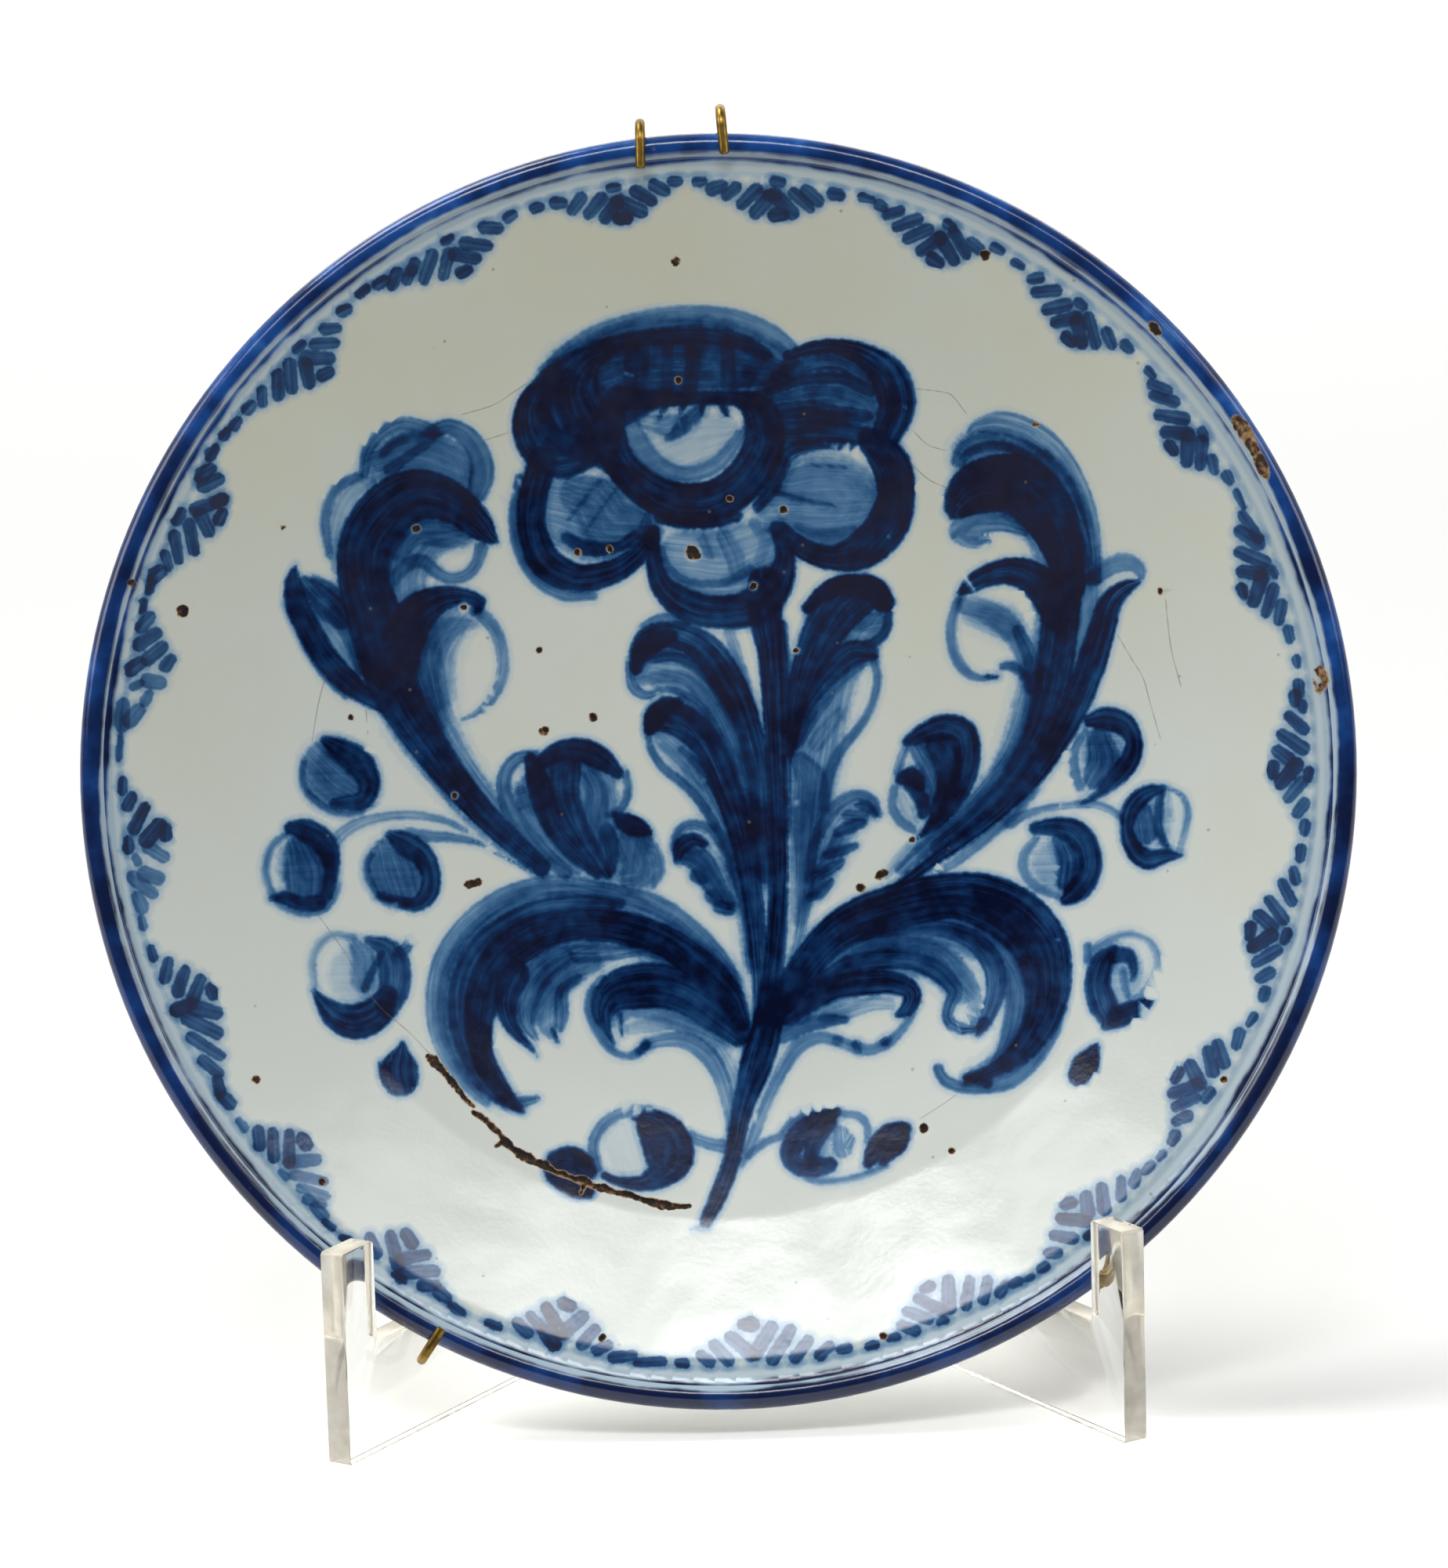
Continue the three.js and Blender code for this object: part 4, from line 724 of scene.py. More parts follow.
WASHES = [
    (0.5, -30, 92, 18, -15, 97, 19, 0, 97, 18, 14, 94, 13), (0.5, 19, 85, 18, 29, 86, 20, 38, 84, 14),
    (0.4, 20, 62, 19, 28, 62, 22, 35, 62, 14), (0.44, -35, 62, 15, -26, 60, 20, -18, 59, 14),
    (0.4, -5, 50, 16, 3, 49, 18, 9, 51, 16), (0.22, -12, 75, 14, -3, 78, 14, 4, 79, 8),
    (0.4, -14, 26, 10, -5, 24, 14, 1, 16, 14, 5, 5, 11, 8, -10, 8, 9, -25, 6),
    (0.42, -11, 10, 10, -4, 4, 14, 1, -6, 12, 4, -18, 9, 6, -30, 7, 7, -45, 5),
    (0.34, -6, -18, 7, -2, -24, 8, 1, -30, 6),
    (0.42, 35, 36, 10, 30, 32, 16, 26, 20, 14, 24, 8, 12, 22, -5, 11, 20, -20, 8, 18, -35, 4),
    (0.28, 32, -10, 7, 28, -15, 8, 25, -22, 7, 22, -28, 4),
    (0.46, -50, -12, 7, -62, 2, 12, -70, 16, 16, -74, 32, 20, -76, 48, 19, -71, 59, 20, -62, 60, 12),
    (0.32, -65, 20, 8, -66, 30, 12, -60, 38, 7), (0.4, -76, 74, 10, -68, 76, 12, -60, 73, 11),
    (0.4, -94, 42, 9, -90, 36, 10, -85, 28, 8, -80, 22, 6),
    (0.5, -44, -4, 9, -38, -2, 14, -32, -2, 16, -30, -12, 13, -28, -20, 8), (0.4, -20, -16, 8, -21, -22, 8),
    (0.46, 0, -50, 9, -10, -42, 12, -25, -33, 14, -42, -32, 14, -56, -40, 14, -62, -52, 12, -59, -66, 9, -52,
     -75, 4), (0.4, -30, -41, 9, -40, -46, 12, -45, -54, 8),
    (0.42, 0, -61, 8, -10, -55, 11, -21, -52, 11, -27, -56, 6),
    (0.46, 14, -54, 9, 28, -42, 14, 45, -36, 16, 60, -38, 16, 69, -46, 14, 71, -58, 11, 66, -68, 7, 58, -73, 4),
    (0.38, 20, -54, 9, 35, -46, 11, 48, -45, 10, 55, -52, 8),
    (0.46, 48, -20, 5, 62, -10, 9, 72, 2, 13, 79, 18, 17, 83, 34, 16, 82, 50, 15, 76, 63, 18, 67, 68, 16, 61,
     73, 9), (0.3, 68, 33, 9, 61, 35, 6), (0.4, 49, 4, 7, 52, 0, 11, 51, -8, 8), (0.34, -89, 2, 13),
    (0.36, -97, -19, 13), (0.36, -76, -21, 13), (0.2, -85, -45, 15), (0.3, 90, 2, 11), (0.26, 101, -15, 10),
    (0.36, 79, -24, 13), (0.22, 92, -50, 12), (0.3, 19, -87, 10),
]
WASH_STREAKS, WASH_SOFTNESS = 0.5, 1.3

SPRAY = [Stroke(ink, WASH_STREAKS, *points, soft=WASH_SOFTNESS) for ink, *points in WASHES]
SPRAY += [Stroke(*row) for row in FLOWER + LEAVES + LEFT_SCROLL + LEFT_BUD + LOWER_LEFT_CURL + LOWER_RIGHT_CURL
          + RIGHT_SCROLL + RIGHT_BUD + BERRIES]


# The border's dabs, in wedges round the rim. Each starts at so many degrees clockwise from the top and so many mm
# out from the border's ring, and ends so many degrees on and mm out; the last number is its width in mm.

BORDER_RADIUS = 127
DABS = (
    (359.5, 9.3, 0.7, 9.4, 2.2), (1, 7.6, 1, 8.4, 3), (3.4, 8.1, -1, 5.9, 2.4), (5.4, 7.8, -1.4, 4.3, 2.8),
    (6.3, 5.2, -0.9, 2.6, 3.2), (7.1, 9.9, 0.7, 9.9, 2.4), (7.2, 6.9, 2, 3.4, 3.4), (9.1, 7.8, 1.8, 5, 2.6),
    (10.3, 8.6, 1.3, 6.8, 3), (12.9, 9.1, 0.7, 9.1, 2.9), (15.7, 9.7, 1, 9.7, 2), (17.5, 9.1, 0.5, 8.8, 2.4),
    (19.6, 9.1, -1.1, 7.2, 2.4), (21.5, 8.7, -1.7, 5.6, 2.6), (22.8, 7.3, -1.6, 3.8, 2.8),
    (24.2, 6.4, -1.2, 2.4, 3), (24.4, 10, 0.7, 9.6, 2.4), (25.2, 9, 2.1, 5.6, 2.6), (24.3, 6.6, 2.1, 3.3, 3),
    (27.3, 8.4, 1, 7.9, 2.8), (29.4, 9.8, 0.8, 9.8, 2.2), (31.9, 9.1, 0.8, 9.1, 1.9), (34.7, 9, -0.6, 7.8, 2.6),
    (36.8, 8.8, -1.6, 5.9, 2.7), (38.4, 7.4, -1.3, 4.2, 3), (39.2, 9.6, 0.7, 9.6, 2.2), (39.9, 6.5, -1.3, 3, 3),
    (40.9, 8.3, 2.3, 4.8, 2.6), (40.1, 6.2, 2, 3, 3), (43.2, 8.4, 1.2, 7.2, 2.6), (45.3, 9.2, 0.7, 9.2, 2.4),
    (48.7, 8.8, 0.7, 8.8, 2), (51.4, 8.9, -1.5, 7.3, 2.6), (52.7, 8.6, -1.8, 5.9, 2.6),
    (54.6, 8, -1.9, 4.1, 2.8), (56.6, 9.5, 0.7, 9.3, 2.2), (56, 6.7, -1.5, 2.9, 3), (57.4, 8.3, 1.9, 5, 2.8),
    (56.3, 6.4, 1.9, 3, 3.2), (59.4, 7.9, 1.1, 7.1, 2.4), (61.5, 8.9, 0.6, 8.9, 2.5), (63.4, 9, 1.6, 8.8, 1.6),
    (68.4, 8.9, -2.8, 7.8, 2.4), (68.8, 8.4, -1.8, 5.8, 3.2), (70.8, 8.1, -1.9, 3.9, 3),
    (71.7, 9.2, 0.7, 9.4, 1.8), (71.6, 6, -0.8, 2.7, 3.2), (72, 6.6, 2.1, 3, 3.2), (73.5, 8.1, 2.1, 4.8, 2.6),
    (75.2, 8.7, 1.5, 7.1, 2.6), (77.8, 8.6, 0.9, 8.6, 2.4), (80.7, 9, 0.6, 9, 2), (83.2, 8.5, 0.9, 8.5, 2.6),
    (84.2, 7.3, 0.7, 7.2, 2.6), (85.2, 8.8, 0.5, 8.8, 2.2), (87.6, 8.6, -1.4, 5.6, 2.7),
    (89.5, 8.2, -1.5, 3.7, 3), (90.5, 4.8, -0.9, 2.5, 3), (92.8, 7.8, 1.6, 5, 2.8), (94.9, 8.6, 1, 7.1, 2.7),
    (96.9, 9.1, 0.7, 9.1, 2.5), (99.3, 8.8, 1, 8.9, 2.3), (102.4, 8.8, -0.9, 7.8, 2.4),
    (104.5, 8.8, -1.6, 5.9, 2.5), (106.4, 8, -1.5, 3.9, 2.7), (107.4, 5.9, -0.8, 2.3, 3),
    (109.5, 8.5, 1.8, 5, 2.7), (111.8, 8.6, 0.8, 7.1, 2.8), (113.6, 9.2, 0.7, 9.3, 2.5),
    (116.3, 9.1, 0.9, 8.8, 1.9), (118.4, 7.8, 1.2, 8.4, 2.6), (121.7, 7.9, -1.3, 4.6, 2.9),
    (123, 6.7, -1.5, 3.4, 2.9), (124.8, 8.7, 0.9, 8.6, 2.4), (124.7, 5.6, -1.1, 1.7, 3.2),
    (124.9, 5.5, 2.1, 2, 3), (126.1, 6.6, 1.9, 4.2, 2.6), (128, 7.6, 1.1, 6.2, 2.6), (130.2, 8, 0.8, 8.3, 2.4),
    (132.4, 8.5, 0.6, 8.5, 1.8), (134, 8.2, 0.9, 8.1, 2.1), (136.5, 8.2, -1, 7.2, 2.4),
    (138.3, 8.4, -1.2, 5.6, 2.4), (140.3, 7.9, -1.2, 4, 3), (141.8, 6.2, -1, 3, 3), (144.5, 8.5, 1.3, 5.5, 2.7),
    (146.6, 9, 0.7, 8, 2.6), (148.3, 10, 0.5, 10, 2.3), (149.9, 10.4, 0.6, 10.3, 1.6),
    (151.2, 9.7, 0.7, 9.7, 2.2), (153.4, 10, -0.9, 8.9, 2.4), (155, 9.5, -1.2, 6.2, 2.6),
    (156.8, 8.9, -1.4, 4.4, 2.7), (158.4, 7.9, -1, 2.4, 3.2), (159.2, 10.2, 0.7, 10.2, 1.8),
    (159.2, 7.8, 1.7, 3.5, 2.8), (160.7, 8.6, 1.7, 5.3, 2.6), (162.3, 10, 1.1, 7.9, 2.6),
    (164.2, 10, 0.7, 9.8, 2), (166.4, 10.3, 0.7, 10.3, 2), (169.1, 9.6, 0.6, 9.6, 2.4),
    (171.8, 9.9, -1.1, 8.2, 2.6), (174.2, 9.6, -1.5, 6.3, 2.8), (176.4, 9.3, -2.1, 3.4, 3),
    (178, 7.8, -1.8, 2.2, 3.2), (178.4, 8, 2, 4, 3.2), (180.7, 9.1, 1.4, 5.6, 2.8), (182.5, 9.5, 0.9, 8, 2.6),
    (184.9, 10, 0.6, 10, 2.2), (187.1, 9.9, 2.4, 10.9, 2.2), (191.8, 10.6, -1.8, 9.4, 2.6),
    (193.5, 9.7, -1, 8, 2.6), (195, 9, -0.9, 5.2, 2.8), (196.9, 7.2, -1.3, 3, 3.2), (199.4, 7.8, 1.3, 6.1, 2.4),
    (200.4, 10, 1.3, 8.7, 2.7), (203.3, 11.1, 1, 11.1, 2.2), (207, 11.6, 1.2, 10.9, 2.2),
    (209.8, 9.6, -0.8, 9.9, 3), (211.5, 10, -1.1, 8.6, 2.8), (213.4, 11.5, 0.9, 11.3, 2.2),
    (213.6, 9.6, -2.4, 5.9, 3), (214.6, 7.4, -1.8, 3.7, 2.8), (214.6, 9, 2.2, 4.6, 3),
    (217, 9.5, 1.4, 7.6, 2.8), (221.8, 11.1, 1, 11.3, 1.7), (230.6, 9.1, 2, 5.6, 2.6),
    (232.4, 9.7, 1.2, 8, 2.8), (229.2, 7.4, 2.2, 3, 2.6), (237.4, 9.5, 0.9, 9.9, 3),
    (242.3, 9.6, -1.9, 7.9, 2.6), (244.8, 9.4, -3, 5.6, 2.6), (246.6, 8.3, -2.6, 3.8, 3.2),
    (247.3, 6, -1.4, 2, 3.4), (248.2, 5.4, 1.5, 2.2, 2.8), (249.4, 8, 1.7, 4.7, 2.8),
    (251.1, 9.5, 1.4, 7.6, 2.6), (253.3, 10.4, 1, 10.4, 2), (269.7, 10.8, 1, 10.6, 2.2),
    (281.4, 10.8, 0.8, 9, 3.2), (282.7, 7.5, 1.5, 4.8, 3), (282.3, 3.3, 0.9, 2.4, 2.7),
    (283.9, 10, 1.5, 6.9, 3), (285.6, 10.5, 1.2, 9.1, 2.8), (287.3, 11.4, 0.7, 11.5, 2.2),
    (289.2, 11, 0.7, 11.1, 2.2), (290.6, 11.2, 0.7, 10, 3.4), (293, 10.4, -1.1, 8.4, 2.2),
    (295, 10, -2, 7, 2.6), (296.5, 10.9, 0.8, 10.8, 2.8), (296.6, 8, -2.2, 4.6, 2.8),
    (297.9, 6.6, -1.1, 3.4, 3.2), (298.2, 8.1, 2, 4, 3), (300.6, 9, 1.3, 6.9, 3.2), (301.3, 10.8, 1, 9.6, 3.2),
    (303.4, 11.3, 0.8, 11.3, 2.8), (305.7, 11.1, 0.5, 11.1, 2.4), (307.1, 10.4, 0.6, 10.4, 2.5),
    (309.1, 10.3, 0.6, 10.1, 2.7), (311.4, 10.3, -0.9, 8.4, 2.4), (313.6, 9.8, -1.5, 6.8, 3),
    (315.1, 9.6, -1.6, 5.6, 3), (316.6, 10.9, 0.8, 10.8, 2.2), (316.2, 7.2, -1.1, 3.6, 3.2),
    (316.7, 8, 1.6, 4.3, 3.2), (318.2, 8.8, 1.6, 5.9, 2.6), (319.9, 9.8, 1, 8.2, 2.6),
    (322.3, 10.3, 0.6, 9.9, 2.6), (324.7, 11, 0.8, 11.1, 2.4), (326.6, 10.2, 0.9, 10.1, 2.6),
    (328.8, 10, -1.1, 8.3, 2.8), (330.2, 9, -1, 7.4, 2.6), (330.8, 9.9, -0.8, 8.4, 2.4),
    (332.6, 9.4, -1.9, 5.6, 2.8), (334.1, 7.9, -1.5, 4.2, 2.8), (334.3, 10.8, 0.7, 10.9, 2),
    (334.6, 7.2, 1.7, 4.3, 3), (336, 8.4, 1.9, 5.8, 2.8), (338.3, 9.8, 1.3, 8.4, 2.8),
    (340.8, 9.8, 0.6, 10.2, 2.4), (343.5, 9.8, 0.6, 9.8, 2.4), (345.6, 9.6, 0.7, 9.2, 2.7),
    (348.2, 9.2, -1.2, 7, 2.7), (350.1, 8.2, -1.6, 5.3, 2.8), (351.2, 10, 0.6, 10, 2.2),
    (351.5, 6.6, -1.4, 3.8, 3.2), (351.8, 6.6, 2, 3.8, 3.4), (353.5, 8.4, 1.5, 5.9, 2.8),
    (355.4, 9.3, 1, 7.7, 2.8), (357.2, 9.7, 0.6, 9.7, 2.4),
)
DARK_DABS = (
    (7.4, 2.4, 0.9, 2.8, 3), (6.6, 6.6, 0.9, 6.6, 2.4), (24.3, 1.6, 0.8, 1.3, 3), (40.4, 1.8, 0.8, 1.8, 2.8),
    (55.8, 1.9, 0.8, 1.9, 2.6), (72.4, 1.3, 0.8, 1.3, 2.4), (91.7, 9.4, 0.7, 9.3, 2.2),
    (91.1, 6.5, 1.8, 3.2, 3.4), (91.2, 1.4, 0.8, 1.4, 2.8), (107.6, 9.6, 0.8, 9.5, 2.4),
    (108.2, 6.4, 1.7, 3.2, 3.2), (108, 1.4, 1, 1.8, 2.6), (124.9, 0.2, 0.8, 0.5, 2.7),
    (142.4, 7.4, 1.8, 3.4, 2.9), (142.7, 10.2, 0.6, 10.2, 2.2), (142.4, 1.9, 0.7, 1.4, 2.7),
    (159.3, 1.8, 0.7, 1.9, 2.4), (178.2, 1.2, 0.8, 1, 3.4), (197.6, 10.8, 1.4, 8.4, 3.2),
    (197.2, 7.8, 2.2, 3.4, 3), (197.2, 1.2, 0.7, 1.2, 3.2), (214.6, 3.2, 1.1, 2.2, 2.9),
    (219.9, 11.1, 0.5, 11.6, 2.2), (229.5, 1.6, 0.7, 1.5, 3.2), (238.8, 9.9, 1.2, 9, 2.6),
    (247.8, 9.8, 0, 6.2, 3.2), (247.8, 0.9, 0.7, 0.8, 2.8), (264.1, 10.5, 0.8, 10.3, 2.5),
    (264.7, 6.2, 1.4, 3, 3.6), (265, 1.8, 0.6, 1.6, 3), (265.9, 8.8, 2.1, 5.9, 2.7),
    (268.2, 9.8, 0.9, 8.6, 2.6), (298.3, 2.5, 0.8, 2.5, 2.8), (299.8, 4.8, 0.7, 3.9, 2.8),
    (316.6, 2.6, 0.7, 2.1, 2.9), (334.3, 2.8, 0.8, 2.8, 2.6), (351.4, 3, 0.9, 2.6, 2.8),
)
PALE_DABS = (
    (223.2, 10.4, 1.2, 10.2, 2.6), (225.5, 10.2, -1.5, 8.6, 2.2), (226.7, 9.4, -2.4, 6.6, 2.2),
    (228, 8.3, -2.5, 4.6, 2.4), (228.4, 10, 0.8, 10, 1.6), (229.2, 7, -1.6, 2.4, 3), (234.6, 10, 0.9, 10.1, 2),
    (256.5, 10.6, 0.8, 10.6, 2), (258.3, 9.8, 1.1, 10.3, 3), (261.3, 10.5, -1.9, 6.8, 3),
    (261.4, 7.6, -0.6, 5, 3.6), (262.7, 8.8, 0.5, 9.2, 2), (264, 6, -1.2, 2.9, 3), (276, 11.3, 2, 11.4, 3.4),
    (276.5, 9.5, 1.1, 7.8, 3.4), (278.5, 6.6, 0.8, 6, 2.4), (279.8, 9.5, 0.5, 8, 2), (280.6, 6.5, 0, 3.8, 3.4),
    (272.8, 11.6, 2.2, 11.4, 1.6),
)
BORDER = ((0.76, DABS), (0.9, DARK_DABS), (0.52, PALE_DABS))
DAB_STREAKS, DAB_SOFTNESS = 0.35, 0.5


def on_rim(degrees, radius):
    """A place on the plate's face from degrees clockwise from its top and a radius."""
    return radius * math.sin(math.radians(degrees)), radius * math.cos(math.radians(degrees))


def border_strokes():
    """The border's dabs as strokes, each a little wider where the brush is set down."""
    strokes = []
    for ink, dabs in BORDER:
        for turn, start, step, end, width in dabs:
            strokes.append(Stroke(ink, DAB_STREAKS, *on_rim(turn, BORDER_RADIUS + start), width + 0.9,
                                  *on_rim(turn + step, BORDER_RADIUS + end), width + 0.5, soft=DAB_SOFTNESS))
    return strokes


# Flaws in the glaze, as rows of a strength and points: open cracks, pits and chips that show the clay, fine hair
# cracks, and pale nicks and rings where the blue has gone

OPEN_FLAWS = [
    (1, -69.4, -64.6, 1, -68.3, -65.5, 2.2, -67.4, -66.6, 0.9, -66.2, -67.8, 1.3, -65.1, -69.4, 0.8, -63.7,
     -71, 1.1, -62.3, -73, 0.6, -60.8, -74.8, 0.5, -59.3, -76.4, 0.3),
    (1, -59.4, -77.6, 0.5, -57.6, -78.8, 1.1, -55.9, -80.1, 0.7, -54.5, -81.7, 1.2, -53.1, -83.2, 0.8, -52,
     -84.9, 1.7, -50.5, -86.2, 0.8, -48.8, -87.7, 1.6, -46.8, -88.6, 2, -45, -89.7, 1, -42.9, -90.5, 1.5,
     -40.9, -91.9, 0.6, -38.6, -92.7, 1, -36.5, -93.6, 0.6, -34.2, -94.3, 1.7, -32, -95.5, 0.8, -29.5, -96.2,
     1.5, -26.9, -97.1, 0.6, -23.8, -97.8, 1.1, -21.1, -98.9, 0.7, -18.4, -99.7, 1.5, -15.6, -100.5, 1.8,
     -12.6, -100.8, 0.9, -9.6, -100.8, 0.4), (1, -52.6, -84.6, 0.6, -54.4, -85.6, 0.3),
    (1, -33.8, -94.8, 0.7, -34.8, -97, 0.3), (1, -4.8, 51.8, 2.6, -4, 51.2, 2), (1, 17, 61, 1.4),
    (1, -6.8, 91.7, 1.2), (1, -31.5, 52.5, 1.3), (1, -24, 53, 1.2), (1, 9.5, 43.5, 1.3), (1, 4.5, 64, 1.1),
    (1, -41.3, 29.8, 1), (1, -40.6, 10.8, 1.8), (1, -29, 13.8, 1.6), (1, -59.2, -24.5, 1.5, -57, -24.1, 1.3),
    (1, -58.5, 40.3, 1), (1, -69, 58.8, 1.2), (1, -109, -68.3, 1.4), (1, 45.5, -84.5, 1.7),
    (1, 51.7, -89.8, 1.2), (1, 32.5, -28, 1.7), (1, 37, -25.3, 1.6, 38, -24.6, 1.4), (1, 104.3, 39.2, 1.7),
    (1, -6.5, 118.7, 1.6), (1, -123, 40.5, 2.4), (1, 65.1, 117.5, 2), (1, 76.2, 78.5, 0.9),
    (1, 103.4, 99.5, 1.8, 104.4, 98.2, 1.4),
    (0.7, 121.8, 77.4, 2, 123.5, 75, 3.2, 126, 70, 1.8, 127.6, 66, 2.4, 128.4, 64, 1),
    (0.55, 139.2, 14.4, 1.6, 139.8, 17, 3.4, 139.3, 19.6, 1.8), (1, -134, 47, 1.6), (1, 34.3, -131.6, 1.3),
    (1, -30.6, -130.2, 1.2), (1, -94.1, -92.3, 1.1), (1, 114.6, -74.6, 1.1), (1, 19, 28, 0.8),
    (1, -62, -3.7, 0.8), (1, 44.8, -17, 0.9), (1, -99.5, 59.5, 0.7), (1, -85.5, 15.3, 0.7),
]
HAIR_CRACKS = [
    (1, -94, -31, 1, -88, -40, 1, -84.5, -47, 1, -80, -53, 1, -74, -58.5, 1, -69, -64, 1),
    (0.8, -91, 25, 1, -93, 18, 1, -94.5, 10, 1), (0.7, -82, 17, 1, -81.5, 8, 1),
    (0.8, -57, 85, 1, -50, 87, 1, -45, 90, 1, -40, 93, 1), (0.7, -52, 79, 1, -47, 80.5, 1),
    (0.8, 48, 88, 1, 54.5, 87, 1, 57, 86, 1, 60, 82, 1), (0.7, 48, 78, 1, 51, 75, 1, 55, 73.5, 1),
    (0.7, 47, 71, 1, 51, 67, 1, 55, 65, 1), (0.8, 94, 29, 1, 97, 23.5, 1, 99.5, 19, 1, 101, 13, 1, 103, 5, 1),
    (0.8, 105, 38, 1, 106, 26, 1, 108, 17, 1), (0.8, 45, -82, 1, 50, -79, 1, 53, -77, 1),
]
PALE_NICKS = [
    (0.9, 56, 48, 0.5, 58.5, 44.5, 1.3, 61, 41, 0.6), (0.6, 50.5, 51, 0.6, 52, 51.5, 0.8), (0.6, 58, 60.5, 0.8),
    (0.6, 41.5, 54, 0.8), (0.6, 39.5, 84.5, 0.7), (0.6, -19, 93.5, 0.7, -17.5, 93, 0.5), (0.6, 46, 83.8, 0.8),
    (0.6, 78, -41.5, 0.8), (0.7, 19, 28, 2), (0.6, 18, -7.7, 1.4), (0.6, 15.6, -27, 1.3), (0.7, -62, -3.7, 2),
    (0.7, -58.5, 40.3, 2.6), (0.7, 44.8, -17, 2.2), (0.6, -4.5, 51.5, 4), (0.5, -69, 58.8, 2.4),
    (0.5, 17, 61, 2.4), (0.5, 9.5, 43.5, 2.6), (0.6, 99.7, 93.8, 1.6), (0.5, -3.5, -1.8, 1),
]
OPEN_STROKES = [Stroke(strength, 0, *points, soft=0.3) for strength, *points in OPEN_FLAWS]
for flaw in OPEN_STROKES:
    flaw.line[:, 2] *= 0.95
HAIR_STROKES = [Stroke(strength, 0.5, *points) for strength, *points in HAIR_CRACKS]
NICK_STROKES = [Stroke(strength, 0.5, *points) for strength, *points in PALE_NICKS]
FLAW_DEPTH = 0.55
FAR = 9.0


def nearest_gap(strokes, places):
    """Distance past the nearest stroke's edge, in millimetres, or FAR where none is near."""
    gap = np.full(len(places), FAR)
    for stroke in strokes:
        low, high = stroke.line[:, :2].min(0) - 4, stroke.line[:, :2].max(0) + 4
        near = np.nonzero(((places > low) & (places < high)).all(1))[0]
        if len(near):
            gap[near] = np.minimum(gap[near], stroke.lay(places[near])[0])
    return gap


def refine_flaws(plate):
    """Cuts the faces round the open flaws fine, so that these can be sunk."""
    only(plate)
    bpy.ops.object.mode_set(mode="EDIT")
    bpy.ops.mesh.select_mode(type="FACE")
    bpy.ops.mesh.select_all(action="DESELECT")
    shape = bmesh.from_edit_mesh(plate.data)
    faces = [f for f in shape.faces if f.normal.z > 0.5]
    middles = np.array([f.calc_center_median()[:2] for f in faces])
    for face, gap in zip(faces, nearest_gap(OPEN_STROKES, middles)):
        face.select_set(bool(gap < 1))
    bmesh.update_edit_mesh(plate.data)
    bpy.ops.mesh.subdivide(number_cuts=2)
    bpy.ops.object.mode_set(mode="OBJECT")


def sink_flaws(plate, on_front):
    """Presses the open flaws into the glaze."""
    co = vertex_places(plate.data)
    gap = nearest_gap(OPEN_STROKES, co[:, :2])
    share = np.clip((0.15 - gap) / 0.5, 0, 1)
    co[on_front, 2] -= (FLAW_DEPTH * share * share * (3 - 2 * share))[on_front]
    plate.data.vertices.foreach_set("co", co.ravel())


def lay_strokes(strokes, places, kind, mesh):
    """Sorts strokes into layers without overlap, and writes how each layer lies: past its edge, along, across,
    ink and streaks. Returns how many layers there are."""
    layers = []
    for stroke in strokes:
        low = stroke.line[:, :2].min(0) - stroke.line[:, 2].max() / 2 - stroke.reach()
        high = stroke.line[:, :2].max(0) + stroke.line[:, 2].max() / 2 + stroke.reach()
        near = np.nonzero(((places > low) & (places < high)).all(1))[0]
        gap, ink, along, across = stroke.lay(places[near])
        zone = gap < stroke.reach()
        near, gap = near[zone], gap[zone]
        values = np.stack([gap / stroke.soft, along[zone], across[zone], ink[zone],
                           np.full(len(near), stroke.streaks)], 1)
        for layer in layers:
            if not layer["taken"][near].any():
                break
        else:
            layer = {"taken": np.zeros(len(places), bool), "values": np.zeros((len(places), 5))}
            layer["values"][:, 0] = 10
            layers.append(layer)
        layer["taken"][near] = True
        layer["values"][near] = values
    for number, layer in enumerate(layers):
        write_vector(mesh, f"{kind}_edge_{number}", layer["values"][:, :3])
        extra = np.concatenate([layer["values"][:, 3:], np.zeros((len(places), 1))], 1)
        write_vector(mesh, f"{kind}_ink_{number}", extra)
    return len(layers)


def write_vector(mesh, name, values):
    """Gives each vertex three numbers under a name."""
    attribute = mesh.attributes.new(name, "FLOAT_VECTOR", "POINT")
    attribute.data.foreach_set("vector", np.asarray(values, np.float32).ravel())


def write_number(mesh, name, values):
    """Gives each vertex a number under a name."""
    attribute = mesh.attributes.new(name, "FLOAT", "POINT")
    attribute.data.foreach_set("value", np.asarray(values, np.float32))


# Tin glaze over earthenware: an opaque white glass, thick and slightly uneven, that reads soft and greasy-bright,
# with cobalt sunk into it that bleeds a little at its edges, and brown clay where it is chipped.

# Rings round the rim, in mm from the plate's middle along its surface: start, full, fade and end. The pale ones
# have their ink too.
PALE_RINGS = (
    ((137, 137.7, 138.3, 139), 0.06), ((139.6, 140.3, 141.4, 142.2), 0.06), ((136.4, 138.5, 145, 147), 0.12),
)
RIM_BAND = (143.8, 144.9, 154.8, 155.8)
WORN_EDGE = (151.7, 152.5, 153.4, 154.2)
UNDERSIDE = (160, 170)  # start and full

